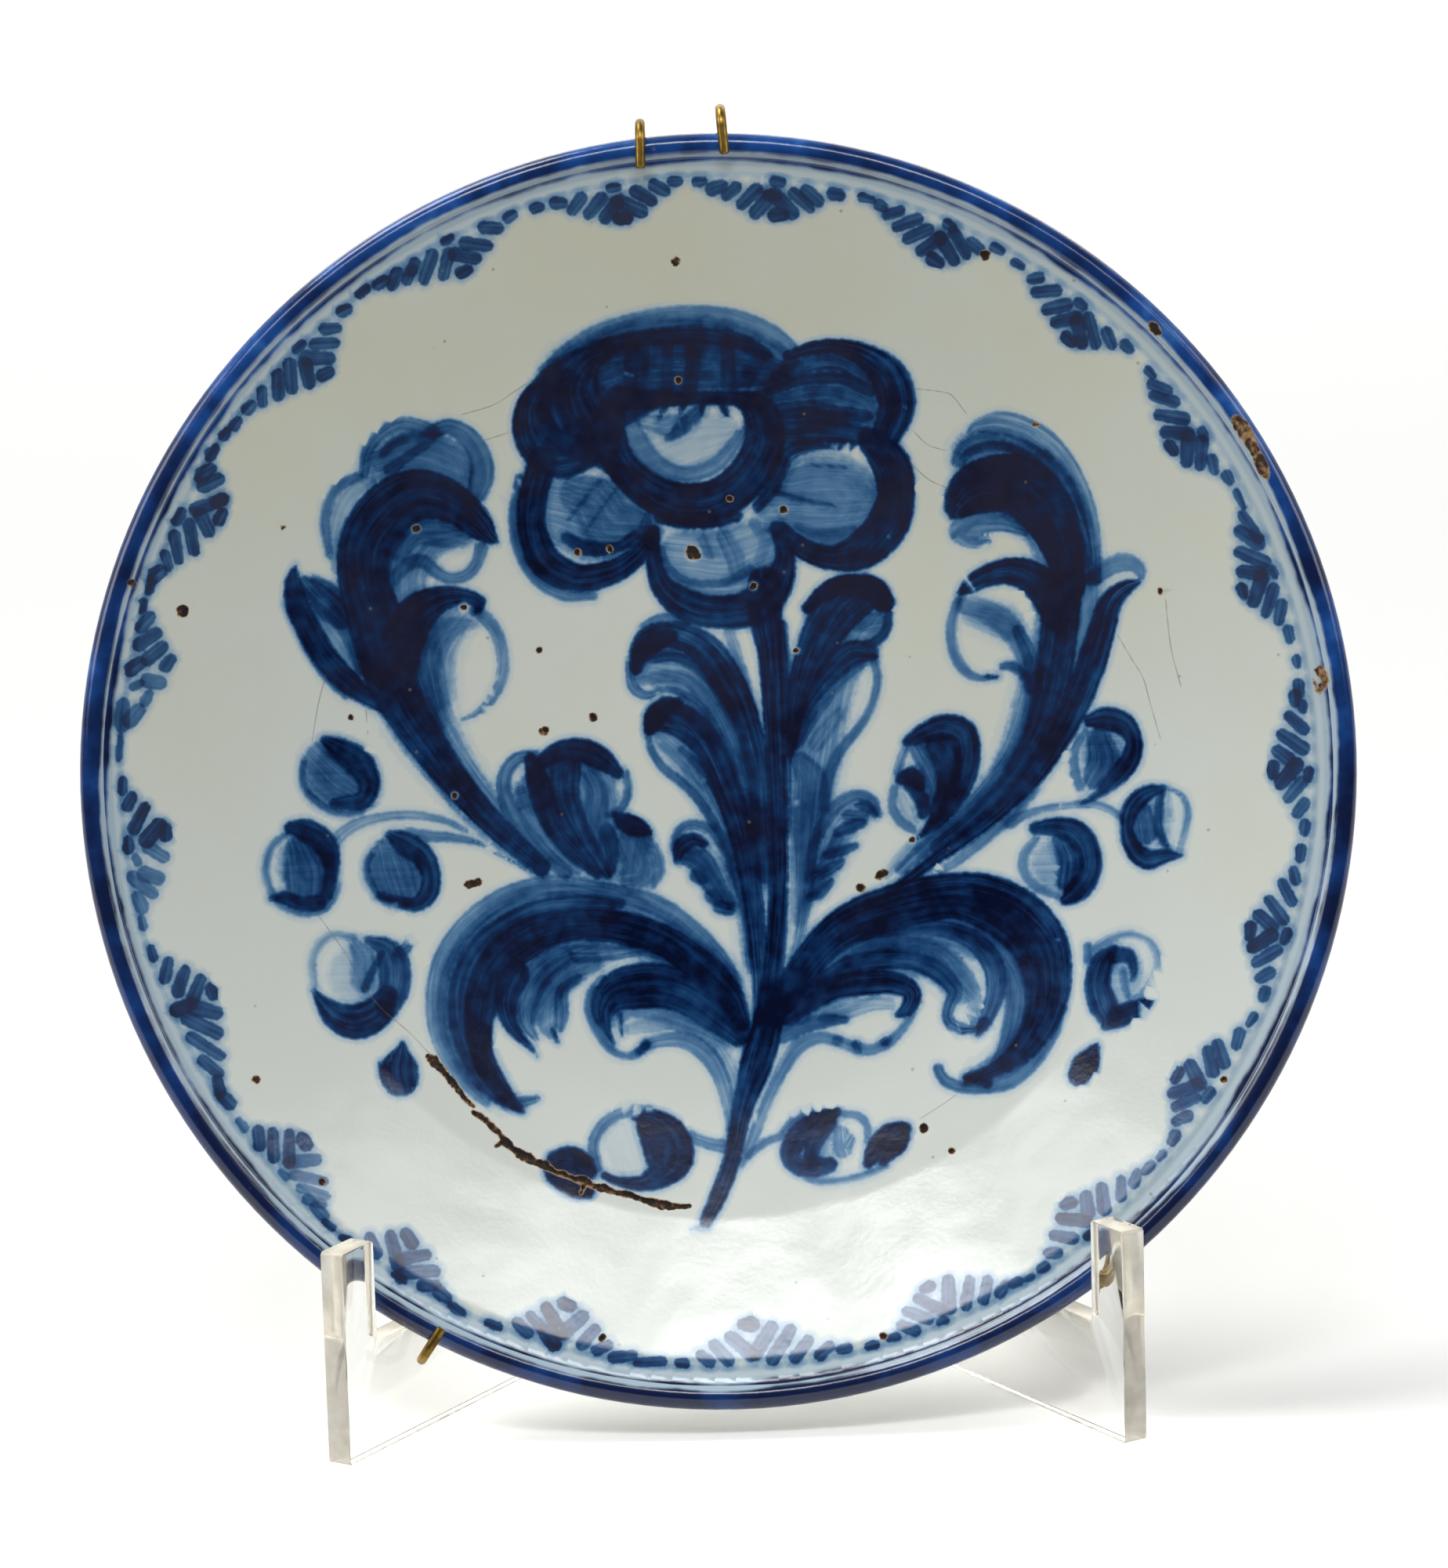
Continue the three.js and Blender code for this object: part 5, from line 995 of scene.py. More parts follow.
# Colours of the blue by how thick it lies, between bare glaze at 0 and full cobalt at 1, and of the rim's band
COBALT_STOPS = ((0.1, "b6c3c8"), (0.25, "8aa5b9"), (0.4, "577fa4"), (0.55, "355f89"), (0.7, "194270"),
                (0.82, "0a2b56"), (0.92, "04163a"))
RIM_STOPS = ((0.0, "3a6cae"), (0.25, "1d4b92"), (0.6, "143268"), (1.0, "101c40"))

# How ragged a kind of stroke's edge is, and between which gaps it fades out, where this isn't (1.2, -0.7, 1.8)
STROKE_EDGES = {"dab": (1.2, -0.7, 1.0), "open": (3, 1.1, 3.6)}


def tin_glaze(settings, layers):
    """The glaze with the painting in it; layers has how many layers of strokes there are of each kind."""
    material, tree = new_material("cobalt_on_tin_glaze")
    place = node(tree, "TexCoord").outputs["Object"]
    height = node(tree, "SeparateXYZ", {0: place}).outputs[2]
    line = node(tree, "Attribute", attribute_name="from_middle").outputs["Fac"]
    grain = node(tree, "TexNoise", {"Vector": place, "Scale": 700, "Detail": 2})
    cloud = node(tree, "TexNoise", {"Vector": place, "Scale": 75, "Detail": 3})
    broad = node(tree, "TexNoise", {"Vector": place, "Scale": 14, "Detail": 5, "Roughness": 0.65})

    # how thick the blue lies, without the rim's band; nicks take it away again
    nick = cover(tree, "nick", layers["nick"], grain)
    spray = taken_off(tree, cover(tree, "spray", layers["spray"], grain), nick, cloud)
    dabs = taken_off(tree, cover(tree, "dab", layers["dab"], grain), nick, cloud)
    depth = node(tree, "Math", {0: spray, 1: dabs}, operation="ADD")
    for ring, ink in PALE_RINGS:
        depth = node(tree, "Math", {0: between(tree, line, *ring), 1: ink, 2: depth}, operation="MULTIPLY_ADD")
    cobalt = node(tree, "ValToRGB", {0: depth})
    washes = [(position, linear(code)) for position, code in COBALT_STOPS]
    fill_ramp(cobalt.color_ramp, [(0.0, settings.glaze), *washes, (1.0, settings.ink)])

    # the bare glaze has yellowed in patches, and it is tinted yellowish grey towards the top as painted shade;
    # towards the top the thick blue is greyed in patches as a painted sheen, and the dabs have turned dull
    patches = node(tree, "MapRange", {0: broad, 1: 0.42, 2: 0.72, 3: 0.0, 4: 0.45})
    # painted shade: a yellowish-grey tint that grows towards the top of the plate
    upper = node(tree, "MapRange", {0: height, 1: 0.08, 2: 0.27, 3: -0.3, 4: 0.42})
    stain_and_painted_shade = node(tree, "Math", {0: patches, 1: upper}, operation="ADD")
    stain_and_painted_shade = node(tree, "MapRange", {0: depth, 1: 0.0, 2: 0.2, 3: stain_and_painted_shade, 4: 0.0})
    stain_and_painted_shade = node(tree, "Math", {0: stain_and_painted_shade, 1: 0.0}, operation="MAXIMUM")
    # painted sheen: the thick blue greyed in patches towards the top of the plate
    painted_sheen = node(tree, "MapRange", {0: broad, 1: 0.42, 2: 0.56, 3: 0.1, 4: 0.7})
    high = node(tree, "MapRange", {0: height, 1: 0.12, 2: 0.2, 3: 0.3, 4: 1.0})
    for factor in (high, between(tree, depth, 0.6, 0.95, 2, 3)):
        painted_sheen = node(tree, "Math", {0: painted_sheen, 1: factor}, operation="MULTIPLY")
    greyed = node(tree, "Math", {0: dabs, 1: 0.3}, operation="MULTIPLY")

    # the rim's band is brushed on thick, in a warmer blue, drawn lighter towards the top as a painted highlight
    # and darker towards the bottom as painted shade, and the glaze has run thin on the very edge
    wavy = line
    for unevenness, reach in ((cloud, 2.4), (broad, 4)):
        wavy = node(tree, "Math", {0: unevenness, 1: reach, 2: wavy}, operation="MULTIPLY_ADD")
    band = between(tree, wavy, *RIM_BAND)
    # painted highlight and shade: less load towards the top of the plate and more towards the bottom
    lower = node(tree, "MapRange", {0: height, 1: 0.05, 2: 0.25, 3: 0.45, 4: -0.1})
    load = node(tree, "MapRange", {0: cloud, 1: 0.34, 2: 0.66, 3: 0.1, 4: 0.9})
    load = node(tree, "Math", {0: load, 1: lower}, operation="ADD")
    rim = node(tree, "ValToRGB", {0: load})
    fill_ramp(rim.color_ramp, [(position, linear(code)) for position, code in RIM_STOPS])
    worn = node(tree, "Math", {0: between(tree, wavy, *WORN_EDGE), 1: 0.55}, operation="MULTIPLY")

    # iron specks in the glaze, and clay in the open flaws and on the foot
    cell = node(tree, "TexVoronoi", {"Vector": place, "Scale": 95}).outputs["Distance"]
    speck = node(tree, "MapRange", {0: cell, 1: 0.025, 2: 0.05, 3: 0.5, 4: 0.0})
    flaw = cover(tree, "open", layers["open"], grain)
    shallow = node(tree, "Math", {0: flaw, 1: -0.52, 2: 0.44}, operation="MULTIPLY_ADD")
    tone = node(tree, "Math", {0: grain, 1: shallow}, operation="ADD")
    clay = node(tree, "ValToRGB", {0: tone})
    fill_ramp(clay.color_ramp, [
        (0.4, linear("140b06")), (0.56, settings.clay), (0.72, linear("8f6f47")), (0.98, linear("b3956c"))])
    foot = node(tree, "Attribute", attribute_name="bare").outputs["Fac"]
    bare = node(tree, "MapRange", {0: flaw, 1: 0.05, 2: 0.5})
    bare = node(tree, "Math", {0: bare, 1: foot}, operation="MAXIMUM")

    # over the blue go the yellowed patches with the painted shade above, the painted sheen on the thick blue, and
    # the glaze's own marks
    shown = cobalt
    for share, over in (
        (stain_and_painted_shade, linear("c8c7ae")), (painted_sheen, linear("2b2a3a")), (greyed, linear("475067")),
        (band, rim), (worn, linear("2b2622")), (speck, linear("6d6a5c")),
        (hair_line(tree), linear("5b5344")), (bare, clay),
    ):
        shown = node(tree, "Mix", {0: share, 6: shown, 7: over}, data_type="RGBA").outputs[2]

    # smooth waves in the glaze, the thrower's turns on the underside, and fine orange peel
    rough = node(tree, "MapRange", {0: bare, 3: 0.17, 4: 0.85})
    slow = node(tree, "TexNoise", {"Vector": place, "Scale": 42, "Detail": 2})
    waves = node(tree, "Bump", {"Height": slow, "Strength": 0.35, "Distance": 0.0012})
    turns = node(tree, "Math", {0: cloud, 1: 5, 2: line}, operation="MULTIPLY_ADD")
    turns = node(tree, "Math", {0: turns, 1: 0.75}, operation="MULTIPLY")
    turns = node(tree, "Math", {0: turns}, operation="SINE")
    start, full = UNDERSIDE
    turns = node(tree, "MapRange", {0: line, 1: start, 2: full, 3: 0.0, 4: turns})
    thrown = node(tree, "Bump", {"Height": turns, "Strength": 0.5, "Distance": 0.0003, "Normal": waves})
    peel = node(tree, "Bump", {"Height": grain, "Strength": 0.12, "Distance": 0.0002, "Normal": thrown})
    shader = node(tree, "BsdfPrincipled", {"Base Color": shown, "Roughness": rough, "Normal": peel, "IOR": 1.5})
    node(tree, "OutputMaterial", {"Surface": shader})
    return material


def fill_ramp(ramp, stops):
    """Gives a colour ramp its stops, as positions and linear colours."""
    while len(ramp.elements) < len(stops):
        ramp.elements.new(0.5)
    for element, (position, stop) in zip(ramp.elements, stops):
        element.position = position
        element.color = stop


def between(tree, value, start, full, fade, end):
    """One between full and fade, and none before start and after end."""
    rise = node(tree, "MapRange", {0: value, 1: start, 2: full}, interpolation_type="SMOOTHSTEP")
    return node(tree, "MapRange", {0: value, 1: fade, 2: end, 3: rise, 4: 0.0}, interpolation_type="SMOOTHSTEP")


def taken_off(tree, paint, nick, cloud):
    """Paint that pools unevenly in patches and flecks, and is gone where it is nicked."""
    pool = node(tree, "MapRange", {0: cloud, 1: 0.32, 2: 0.68, 3: 0.87, 4: 1.07})
    place = node(tree, "TexCoord").outputs["Object"]
    fleck = node(tree, "TexNoise", {"Vector": place, "Scale": 300, "Detail": 3})
    fleck = node(tree, "MapRange", {0: fleck, 1: 0.35, 2: 0.65, 3: 0.95, 4: 1.04})
    left = node(tree, "Math", {0: 1.0, 1: nick}, operation="SUBTRACT")
    for factor in (pool, fleck, left):
        paint = node(tree, "Math", {0: paint, 1: factor}, operation="MULTIPLY")
    return paint


def cover(tree, kind, count, grain):
    """How much all layers of one kind of stroke cover, from 0 to 1."""
    bare = stroke_layer(tree, kind, 0, grain)
    for number in range(1, count):
        left = stroke_layer(tree, kind, number, grain)
        bare = node(tree, "Math", {0: bare, 1: left}, operation="MULTIPLY")
    return node(tree, "Math", {0: 1.0, 1: bare}, operation="SUBTRACT")


def hair_line(tree):
    """A faint line a few tenths of a millimetre wide along the hair cracks."""
    edge = node(tree, "Attribute", attribute_name="hair_edge_0")
    place = node(tree, "SeparateXYZ", {0: edge.outputs["Vector"]})
    side = node(tree, "Math", {0: place.outputs[2]}, operation="ABSOLUTE")
    line = node(tree, "MapRange", {0: side, 1: 0.04, 2: 0.2, 3: 0.55, 4: 0.0})
    return node(tree, "MapRange", {0: place.outputs[0], 1: -0.5, 2: 0.5, 3: line, 4: 0.0})


def stroke_layer(tree, kind, number, grain):
    """How much of the bare glaze one layer of strokes leaves showing, from 1 down."""
    edge = node(tree, "Attribute", attribute_name=f"{kind}_edge_{number}")
    ink = node(tree, "Attribute", attribute_name=f"{kind}_ink_{number}")
    place = node(tree, "SeparateXYZ", {0: edge.outputs["Vector"]})
    load = node(tree, "SeparateXYZ", {0: ink.outputs["Vector"]})
    ragged, start, end = STROKE_EDGES.get(kind, (1.2, -0.7, 1.8))
    gap = node(tree, "Math", {0: grain, 1: ragged, 2: place.outputs[0]}, operation="MULTIPLY_ADD")
    laid = node(tree, "MapRange", {0: gap, 1: start, 2: end, 3: 1.0, 4: 0.0}, interpolation_type="SMOOTHSTEP")
    if kind in ("spray", "dab"):
        bleed = node(tree, "MapRange", {0: gap, 1: 0.6, 2: 3.5, 3: 0.24, 4: 0.0})
        laid = node(tree, "Math", {0: laid, 1: bleed}, operation="MAXIMUM")

    # the brush's hairs leave streaks along the stroke, the deeper the drier it is
    slow = node(tree, "Math", {0: place.outputs[1], 1: 0.06}, operation="MULTIPLY")
    hair = node(tree, "CombineXYZ", {0: slow, 1: place.outputs[2], 2: number * 7.3})
    noise = node(tree, "TexNoise", {"Vector": hair, "Scale": 0.8, "Detail": 3.2, "Roughness": 0.6})
    least = node(tree, "MapRange", {0: load.outputs[1], 3: 0.8944, 4: 0.439})
    left = node(tree, "MapRange", {0: noise, 1: 0.34, 2: 0.72, 3: 1.0, 4: least},
                interpolation_type="SMOOTHSTEP")
    for factor in (load.outputs[0], left):
        laid = node(tree, "Math", {0: laid, 1: factor}, operation="MULTIPLY")
    return node(tree, "Math", {0: 1.0, 1: laid}, operation="SUBTRACT")


FLAT_RADIUS = 139  # up to here the distance from the middle is the radius, and past it the way along the surface
BARE_HEIGHT, BARE_FADE = 0.9, 0.5
OFF_FACE = 1000


def write_profile(plate, outline):
    """Writes how far each point lies from the middle along the surface, and where the clay is bare."""
    co = vertex_places(plate.data)
    radius, depth = np.hypot(co[:, 0], co[:, 1]), -co[:, 2]
    profile = outline.whole()
    length = np.concatenate([[0], np.cumsum(np.hypot(*np.diff(profile, axis=0).T))])
    start = np.interp(FLAT_RADIUS, outline.front()[:, 0], length[: len(outline.front())])
    apart = (radius[:, None] - profile[:, 0]) ** 2 + (depth[:, None] - profile[:, 1]) ** 2
    along = length[apart.argmin(1)] - start + FLAT_RADIUS
    write_number(plate.data, "from_middle",
                 np.where(along > FLAT_RADIUS + 1, along, np.minimum(radius, along + 9)))
    write_number(plate.data, "bare", np.clip((depth - outline.ring + BARE_HEIGHT) / BARE_FADE, 0, 1))


class OBJECT_OT_make_painted_plate(bpy.types.Operator):
    """Spins the plate, cuts its front fine, paints it and leans it back"""

    bl_idname = "object.make_painted_plate"
    bl_label = "Make painted plate"

    def execute(self, context):
        settings = context.scene.plate_settings
        outline = PlateOutline(settings)
        plate = spin_plate(outline)
        refine_flaws(plate)
        on_front = settle_on_outline(plate, outline)
        mesh = plate.data
        places = vertex_places(mesh)[:, :2].copy()
        sink_flaws(plate, on_front)
        write_profile(plate, outline)
        places[~on_front & (vertex_places(mesh)[:, 2] < -2)] += OFF_FACE  # no paint on the underside
        layers = {}
        for kind, strokes in (("spray", SPRAY), ("dab", border_strokes()), ("open", OPEN_STROKES),
                              ("hair", HAIR_STROKES), ("nick", NICK_STROKES)):
            layers[kind] = lay_strokes(strokes, places, kind, mesh)
        mesh.materials.append(tin_glaze(settings, layers))
        plate.scale = (MM, MM, MM)
        finish_place(plate)
        mesh.transform(TO_WORLD)
        only(plate)
        bpy.ops.object.shade_smooth_by_angle(angle=math.radians(50))
        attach(plate, "plate")
        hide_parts("plate")
        return {"FINISHED"}


# The hanger: two bent wires and two springs. Places are (across, depth behind the lip's middle, up) in mm.

WIRE_RADIUS = 1.2
SEAT_GAP = 0.3
STAND_OFF = WIRE_RADIUS + SEAT_GAP
EYE_OFFSET = 10
EYE_BEND = 3.5
EYE_SPAN = 88
LOOP_HEIGHT = 112
DIP_HEIGHT = 62
CORNER_BEND = 4
BEND_STEPS = 24
SPRING_WIRE = 0.9
SPRING_DIAMETER = 6.4
SPRING_CURLS = 24
SPRING_PITCH = 1.9
CURL_STEPS = 20
HOOK_TURN = 250
HOOK_STEPS = 24

# Each wire: which way it reaches, degrees from its middle line to a hook, its middle bend, its turn, and
# for the left and the right hook the rise over the rim and the grip over the lip
UPPER_WIRE = (1, 3.7, LOOP_HEIGHT, 1.7, (2.1, 7.5), (4.4, 5.3))
LOWER_WIRE = (-1, 32.277, DIP_HEIGHT, 4.103, (3.5, 4.2), (5.3, 4.2))


def taut_line(outline):
    """The wire's depth at each radius: a string pulled tight over the underside from the lip to the foot ring."""
    back = outline.back()
    offset = [(outline.radius, outline.half + STAND_OFF)]
    for before, point, after in zip(back, back[1:], back[2:]):
        if FOOT_RADIUS < point[0] < outline.centre:
            along = (after - before) / np.hypot(*(after - before))
            offset.append((point[0] + along[1] * STAND_OFF, point[1] - along[0] * STAND_OFF))
    offset.append((outline.foot_outer + STAND_OFF / 2, outline.ring + STAND_OFF))
    line = []
    for point in offset:
        while len(line) > 1:
            (r0, d0), (r1, d1) = line[-2:]
            if (r1 - r0) * (point[1] - d0) - (d1 - d0) * (point[0] - r0) > 0:
                break
            line.pop()
        line.append(point)
    return line


def rounded(corners, radius, steps):
    """Rounds each corner of a run of straight stretches."""
    points = [corners[0]]
    for before, corner, after in zip(corners, corners[1:], corners[2:]):
        back, on = before - corner, after - corner
        turn = math.pi - back.angle(on)
        reach = min(radius * math.tan(turn / 2), back.length / 2, on.length / 2)
        start, end = corner + back.normalized() * reach, corner + on.normalized() * reach
        for step in range(steps + 1):
            t = step / steps
            points.append(start * (1 - t) ** 2 + corner * 2 * t * (1 - t) + end * t * t)
    return points + [corners[-1]]


def without_repeats(points):
    """Points without those that lie on the one before."""
    kept = [points[0]]
    for point in points[1:]:
        if (point - kept[-1]).length > 0.01:
            kept.append(point)
    return kept


def on_circle(middle, radius, degrees):
    """A place on a circle, anticlockwise from its right."""
    return middle + Vector((math.cos(math.radians(degrees)), math.sin(math.radians(degrees)))) * radius


def hook_and_leg(outline, hook_at, eye_at, rise, grip):
    """One end of a hanger wire, from its cut end over the lip to the bend that the spring pulls on."""
    along = (hook_at - eye_at).normalized()
    length = (hook_at - eye_at).length
    straddle = outline.half + STAND_OFF
    bend_middle = length + rise + WIRE_RADIUS - straddle

    def place(distance, depth):
        """A place on the leg's line, at a distance from the eye."""
        return Vector((eye_at.x + along.x * distance, depth, eye_at.y + along.y * distance))

    points = [place(length - grip, -straddle), place(length - grip + 0.35, -straddle)]
    for step in range(BEND_STEPS + 1):
        angle = math.pi * step / BEND_STEPS
        points.append(place(bend_middle + straddle * math.sin(angle), -straddle * math.cos(angle)))
    corners = [place(bend_middle, straddle)]
    for radius, depth in taut_line(outline)[1:]:
        shift = eye_at.dot(along)
        corners.append(place(-shift + math.sqrt(shift**2 + radius**2 - eye_at.length_squared), depth))
    corners.append(place(0, outline.ring + STAND_OFF))
    return without_repeats(points + rounded(corners, CORNER_BEND, 10)[1:])


def wire_route(outline, upward, spread, middle_at, turn, left, right):
    """One wire: hook, leg, spring bend, middle bend, spring bend, leg, hook."""
    depth = outline.ring + STAND_OFF
    strand = EYE_OFFSET - EYE_BEND

    def flat_arc(middle, radius, start, end):
        """An arc that lies behind the foot ring."""
        steps = [on_circle(middle, radius, start + (end - start) * k / BEND_STEPS) for k in range(BEND_STEPS + 1)]
        return [Vector((p.x, depth, p.y)) for p in steps]

    ends = []
    for side, (rise, grip) in ((-1, left), (1, right)):
        middle = Vector((side * EYE_OFFSET, upward * EYE_SPAN / 2))
        lean = math.radians(spread)
        rim = Vector((side * math.sin(lean), upward * math.cos(lean))) * outline.radius
        away = rim - middle
        touch = math.degrees(math.atan2(away.y, away.x) - side * upward * math.acos(EYE_BEND / away.length))
        ends.append((middle, touch, hook_and_leg(outline, rim, on_circle(middle, EYE_BEND, touch), rise, grip)))
    (first, first_touch, first_leg), (last, last_touch, last_leg) = ends
    inner = 360 if upward > 0 else 0
    route = (first_leg + flat_arc(first, EYE_BEND, first_touch, inner)
             + flat_arc(Vector((0, upward * middle_at)), strand, 180, 360 - inner)
             + flat_arc(last, EYE_BEND, -upward * 180, last_touch) + last_leg[::-1])
    return [turned(p, turn) for p in without_repeats(route)]


def turned(point, degrees):
    """A place turned anticlockwise about the plate's axis, as seen from the front."""
    c, s = math.cos(math.radians(degrees)), math.sin(math.radians(degrees))
    return Vector((point.x * c - point.z * s, point.y, point.x * s + point.z * c))


def spring_route(outline, side):
    """One spring: an end hook, a shank, the curls, a shank and an end hook. Returns its points and shanks."""
    reach = EYE_SPAN / 2 - EYE_BEND
    depth = outline.ring + STAND_OFF
    lower = turned(Vector((side * EYE_OFFSET, depth, -reach)), LOWER_WIRE[3])
    upper = turned(Vector((side * EYE_OFFSET, depth, reach)), UPPER_WIRE[3])
    line = upper - lower
    length = line.length
    hook_radius = WIRE_RADIUS + SPRING_WIRE / 2 + SEAT_GAP
    curl_radius = (SPRING_DIAMETER - SPRING_WIRE) / 2
    start = (length - SPRING_CURLS * SPRING_PITCH) / 2

    def hook(middle, direction):
        """An open ring round the wire, with a short straight end."""
        points = []
        for step in range(HOOK_STEPS + 1):
            angle = math.radians(HOOK_TURN) * step / HOOK_STEPS
            points.append(Vector((0, hook_radius * math.cos(angle),
                                  middle + direction * hook_radius * math.sin(angle))))
        last = math.radians(HOOK_TURN)
        points.append(points[-1] + Vector((0, -math.sin(last), direction * math.cos(last))) * SPRING_WIRE)
        return points

    points = hook(0, -1)[::-1] + [Vector((0, hook_radius, start - SPRING_PITCH))]
    for step in range(SPRING_CURLS * CURL_STEPS + 1):
        angle = 2 * math.pi * step / CURL_STEPS
        points.append(Vector((-curl_radius * math.sin(angle), curl_radius * math.cos(angle),
                              start + SPRING_PITCH * step / CURL_STEPS)))
    points += [Vector((0, hook_radius, length - start + SPRING_PITCH))] + hook(length, 1)
    across, along = Vector((line.z, 0, -line.x)) / length, line / length
    inward = Vector((0, 1, 0))
    ends = [lower + along * (start - SPRING_PITCH), lower + along * (length - start + SPRING_PITCH)]
    return [lower + across * p.x + inward * p.y + along * p.z for p in points], ends


def behind_plate(point):
    """A place (across, depth, up) in millimetres as a place in the row's frame in metres."""
    return TO_WORLD @ (Vector((point.x, point.z, -point.y)) * MM)


def wind_tube(name, points, diameter, round_steps):
    """A closed tube along points, with chamfered ends."""
    bpy.ops.object.select_all(action="DESELECT")
    bpy.ops.curve.primitive_nurbs_path_add()
    tube = bpy.context.object
    tube.name = name
    curve = tube.data
    curve.splines.clear()
    spline = curve.splines.new("POLY")
    spline.points.add(len(points) - 1)
    for place, point in zip(spline.points, points):
        place.co = (*behind_plate(point), 1)
    spline.points[0].radius = spline.points[-1].radius = 0.7
    curve.bevel_depth = diameter / 2
    curve.bevel_resolution = round_steps
    curve.use_fill_caps = True
    bpy.ops.object.convert(target="MESH")
    bpy.ops.object.mode_set(mode="EDIT")
    bpy.ops.mesh.select_all(action="SELECT")
    bpy.ops.mesh.remove_doubles(threshold=1e-6)
    bpy.ops.mesh.normals_make_consistent(inside=False)
    bpy.ops.object.mode_set(mode="OBJECT")
    finish_place(tube)
    bpy.ops.object.shade_smooth_by_angle(angle=math.radians(40))
    return tube


# Drawn brass wire, long handled: an olive-brown tarnish with brighter metal where it has been rubbed.


def tarnished_brass(name, bright, tarnish, roughness):
    """Metal that is tarnished in patches."""
    material, tree = new_material(name)
    place = node(tree, "TexCoord").outputs["Object"]
    cloud = node(tree, "TexNoise", {"Vector": place, "Scale": 260, "Detail": 4})
    ramp = node(tree, "ValToRGB", {0: cloud})
    fill_ramp(ramp.color_ramp, [(0.35, tarnish), (0.62, bright)])
    rough = node(tree, "MapRange", {0: cloud, 1: 0.3, 2: 0.7, 3: roughness + 0.15, 4: roughness})
    shader = node(tree, "BsdfPrincipled", {"Base Color": ramp, "Roughness": rough, "Metallic": 1})
    node(tree, "OutputMaterial", {"Surface": shader})
    return material


class OBJECT_OT_make_hanger_wires(bpy.types.Operator):
    """Bends the hanger's two wires over the rim and across the underside"""

    bl_idname = "object.make_hanger_wires"
    bl_label = "Make hanger wires"

    def execute(self, context):
        settings = context.scene.hanger_settings
        outline = PlateOutline(context.scene.plate_settings)
        brass = tarnished_brass("tarnished_brass_wire", settings.brass, linear("57431f"), 0.28)
        for name, body, shape in (("upper", "plate", UPPER_WIRE), ("lower", "hanger_lower", LOWER_WIRE)):
            wire = wind_tube(f"{name}_wire_bent", wire_route(outline, *shape), settings.wire, 6)
            wire.data.materials.append(brass)
            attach(wire, body)
            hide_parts(f"hanger_{name}_wire")
        return {"FINISHED"}


class OBJECT_OT_make_hanger_springs(bpy.types.Operator):
    """Winds the two springs that pull the hanger's wires together"""

    bl_idname = "object.make_hanger_springs"
    bl_label = "Make hanger springs"

    def execute(self, context):
        settings = context.scene.hanger_settings
        outline = PlateOutline(context.scene.plate_settings)
        steel = tarnished_brass("plated_spring_steel", settings.steel, linear("6d6048"), 0.32)
        for name, side in (("left", -1), ("right", 1)):
            points, (low, high) = spring_route(outline, side)
            spring = wind_tube(f"{name}_spring_wound", points, settings.spring_wire, 3)
            spring.data.materials.append(steel)
            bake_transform(spring)
            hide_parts(f"hanger_spring_{name}")
        return {"FINISHED"}


# Cast acrylic sheet: clear, with its own glossy faces, so only its outline and what it bends are seen.

ACRYLIC_IOR = 1.49


def clear_acrylic(settings):
    """The panels' faces and inside."""
    material, tree = new_material("cast_acrylic_sheet")
    place = node(tree, "TexCoord").outputs["Object"]
    smear = node(tree, "TexNoise", {"Vector": place, "Scale": 90, "Detail": 3})
    rough = node(tree, "MapRange", {0: smear, 1: 0.45, 2: 0.75, 3: 0.01, 4: 0.09})
    shader = node(tree, "BsdfPrincipled", {"Base Color": linear("fdfdfb"), "Roughness": rough, "IOR": ACRYLIC_IOR,
                                           "Transmission Weight": 1})
    haze = node(tree, "VolumeAbsorption", {"Color": settings.tint, "Density": 4})
    node(tree, "OutputMaterial", {"Surface": shader, "Volume": haze})
    return material


# Sawn and scraped acrylic edge: the cut scatters light, so it glows a milky, faintly warm white.


def scraped_edge():
    """The panels' cut edges."""
    material, tree = new_material("scraped_acrylic_edge")
    place = node(tree, "TexCoord").outputs["Object"]
    saw = node(tree, "TexNoise", {"Vector": place, "Scale": 250, "Detail": 3})
    tone = node(tree, "ValToRGB", {0: saw})
    fill_ramp(tone.color_ramp, [(0.3, linear("ddd6c6")), (0.7, linear("f3eee1"))])
    rough = node(tree, "MapRange", {0: saw, 1: 0.3, 2: 0.7, 3: 0.1, 4: 0.25})
    shader = node(tree, "BsdfPrincipled", {"Base Color": tone, "Roughness": rough, "IOR": ACRYLIC_IOR,
                                           "Transmission Weight": 0.6})
    node(tree, "OutputMaterial", {"Surface": shader})
    return material


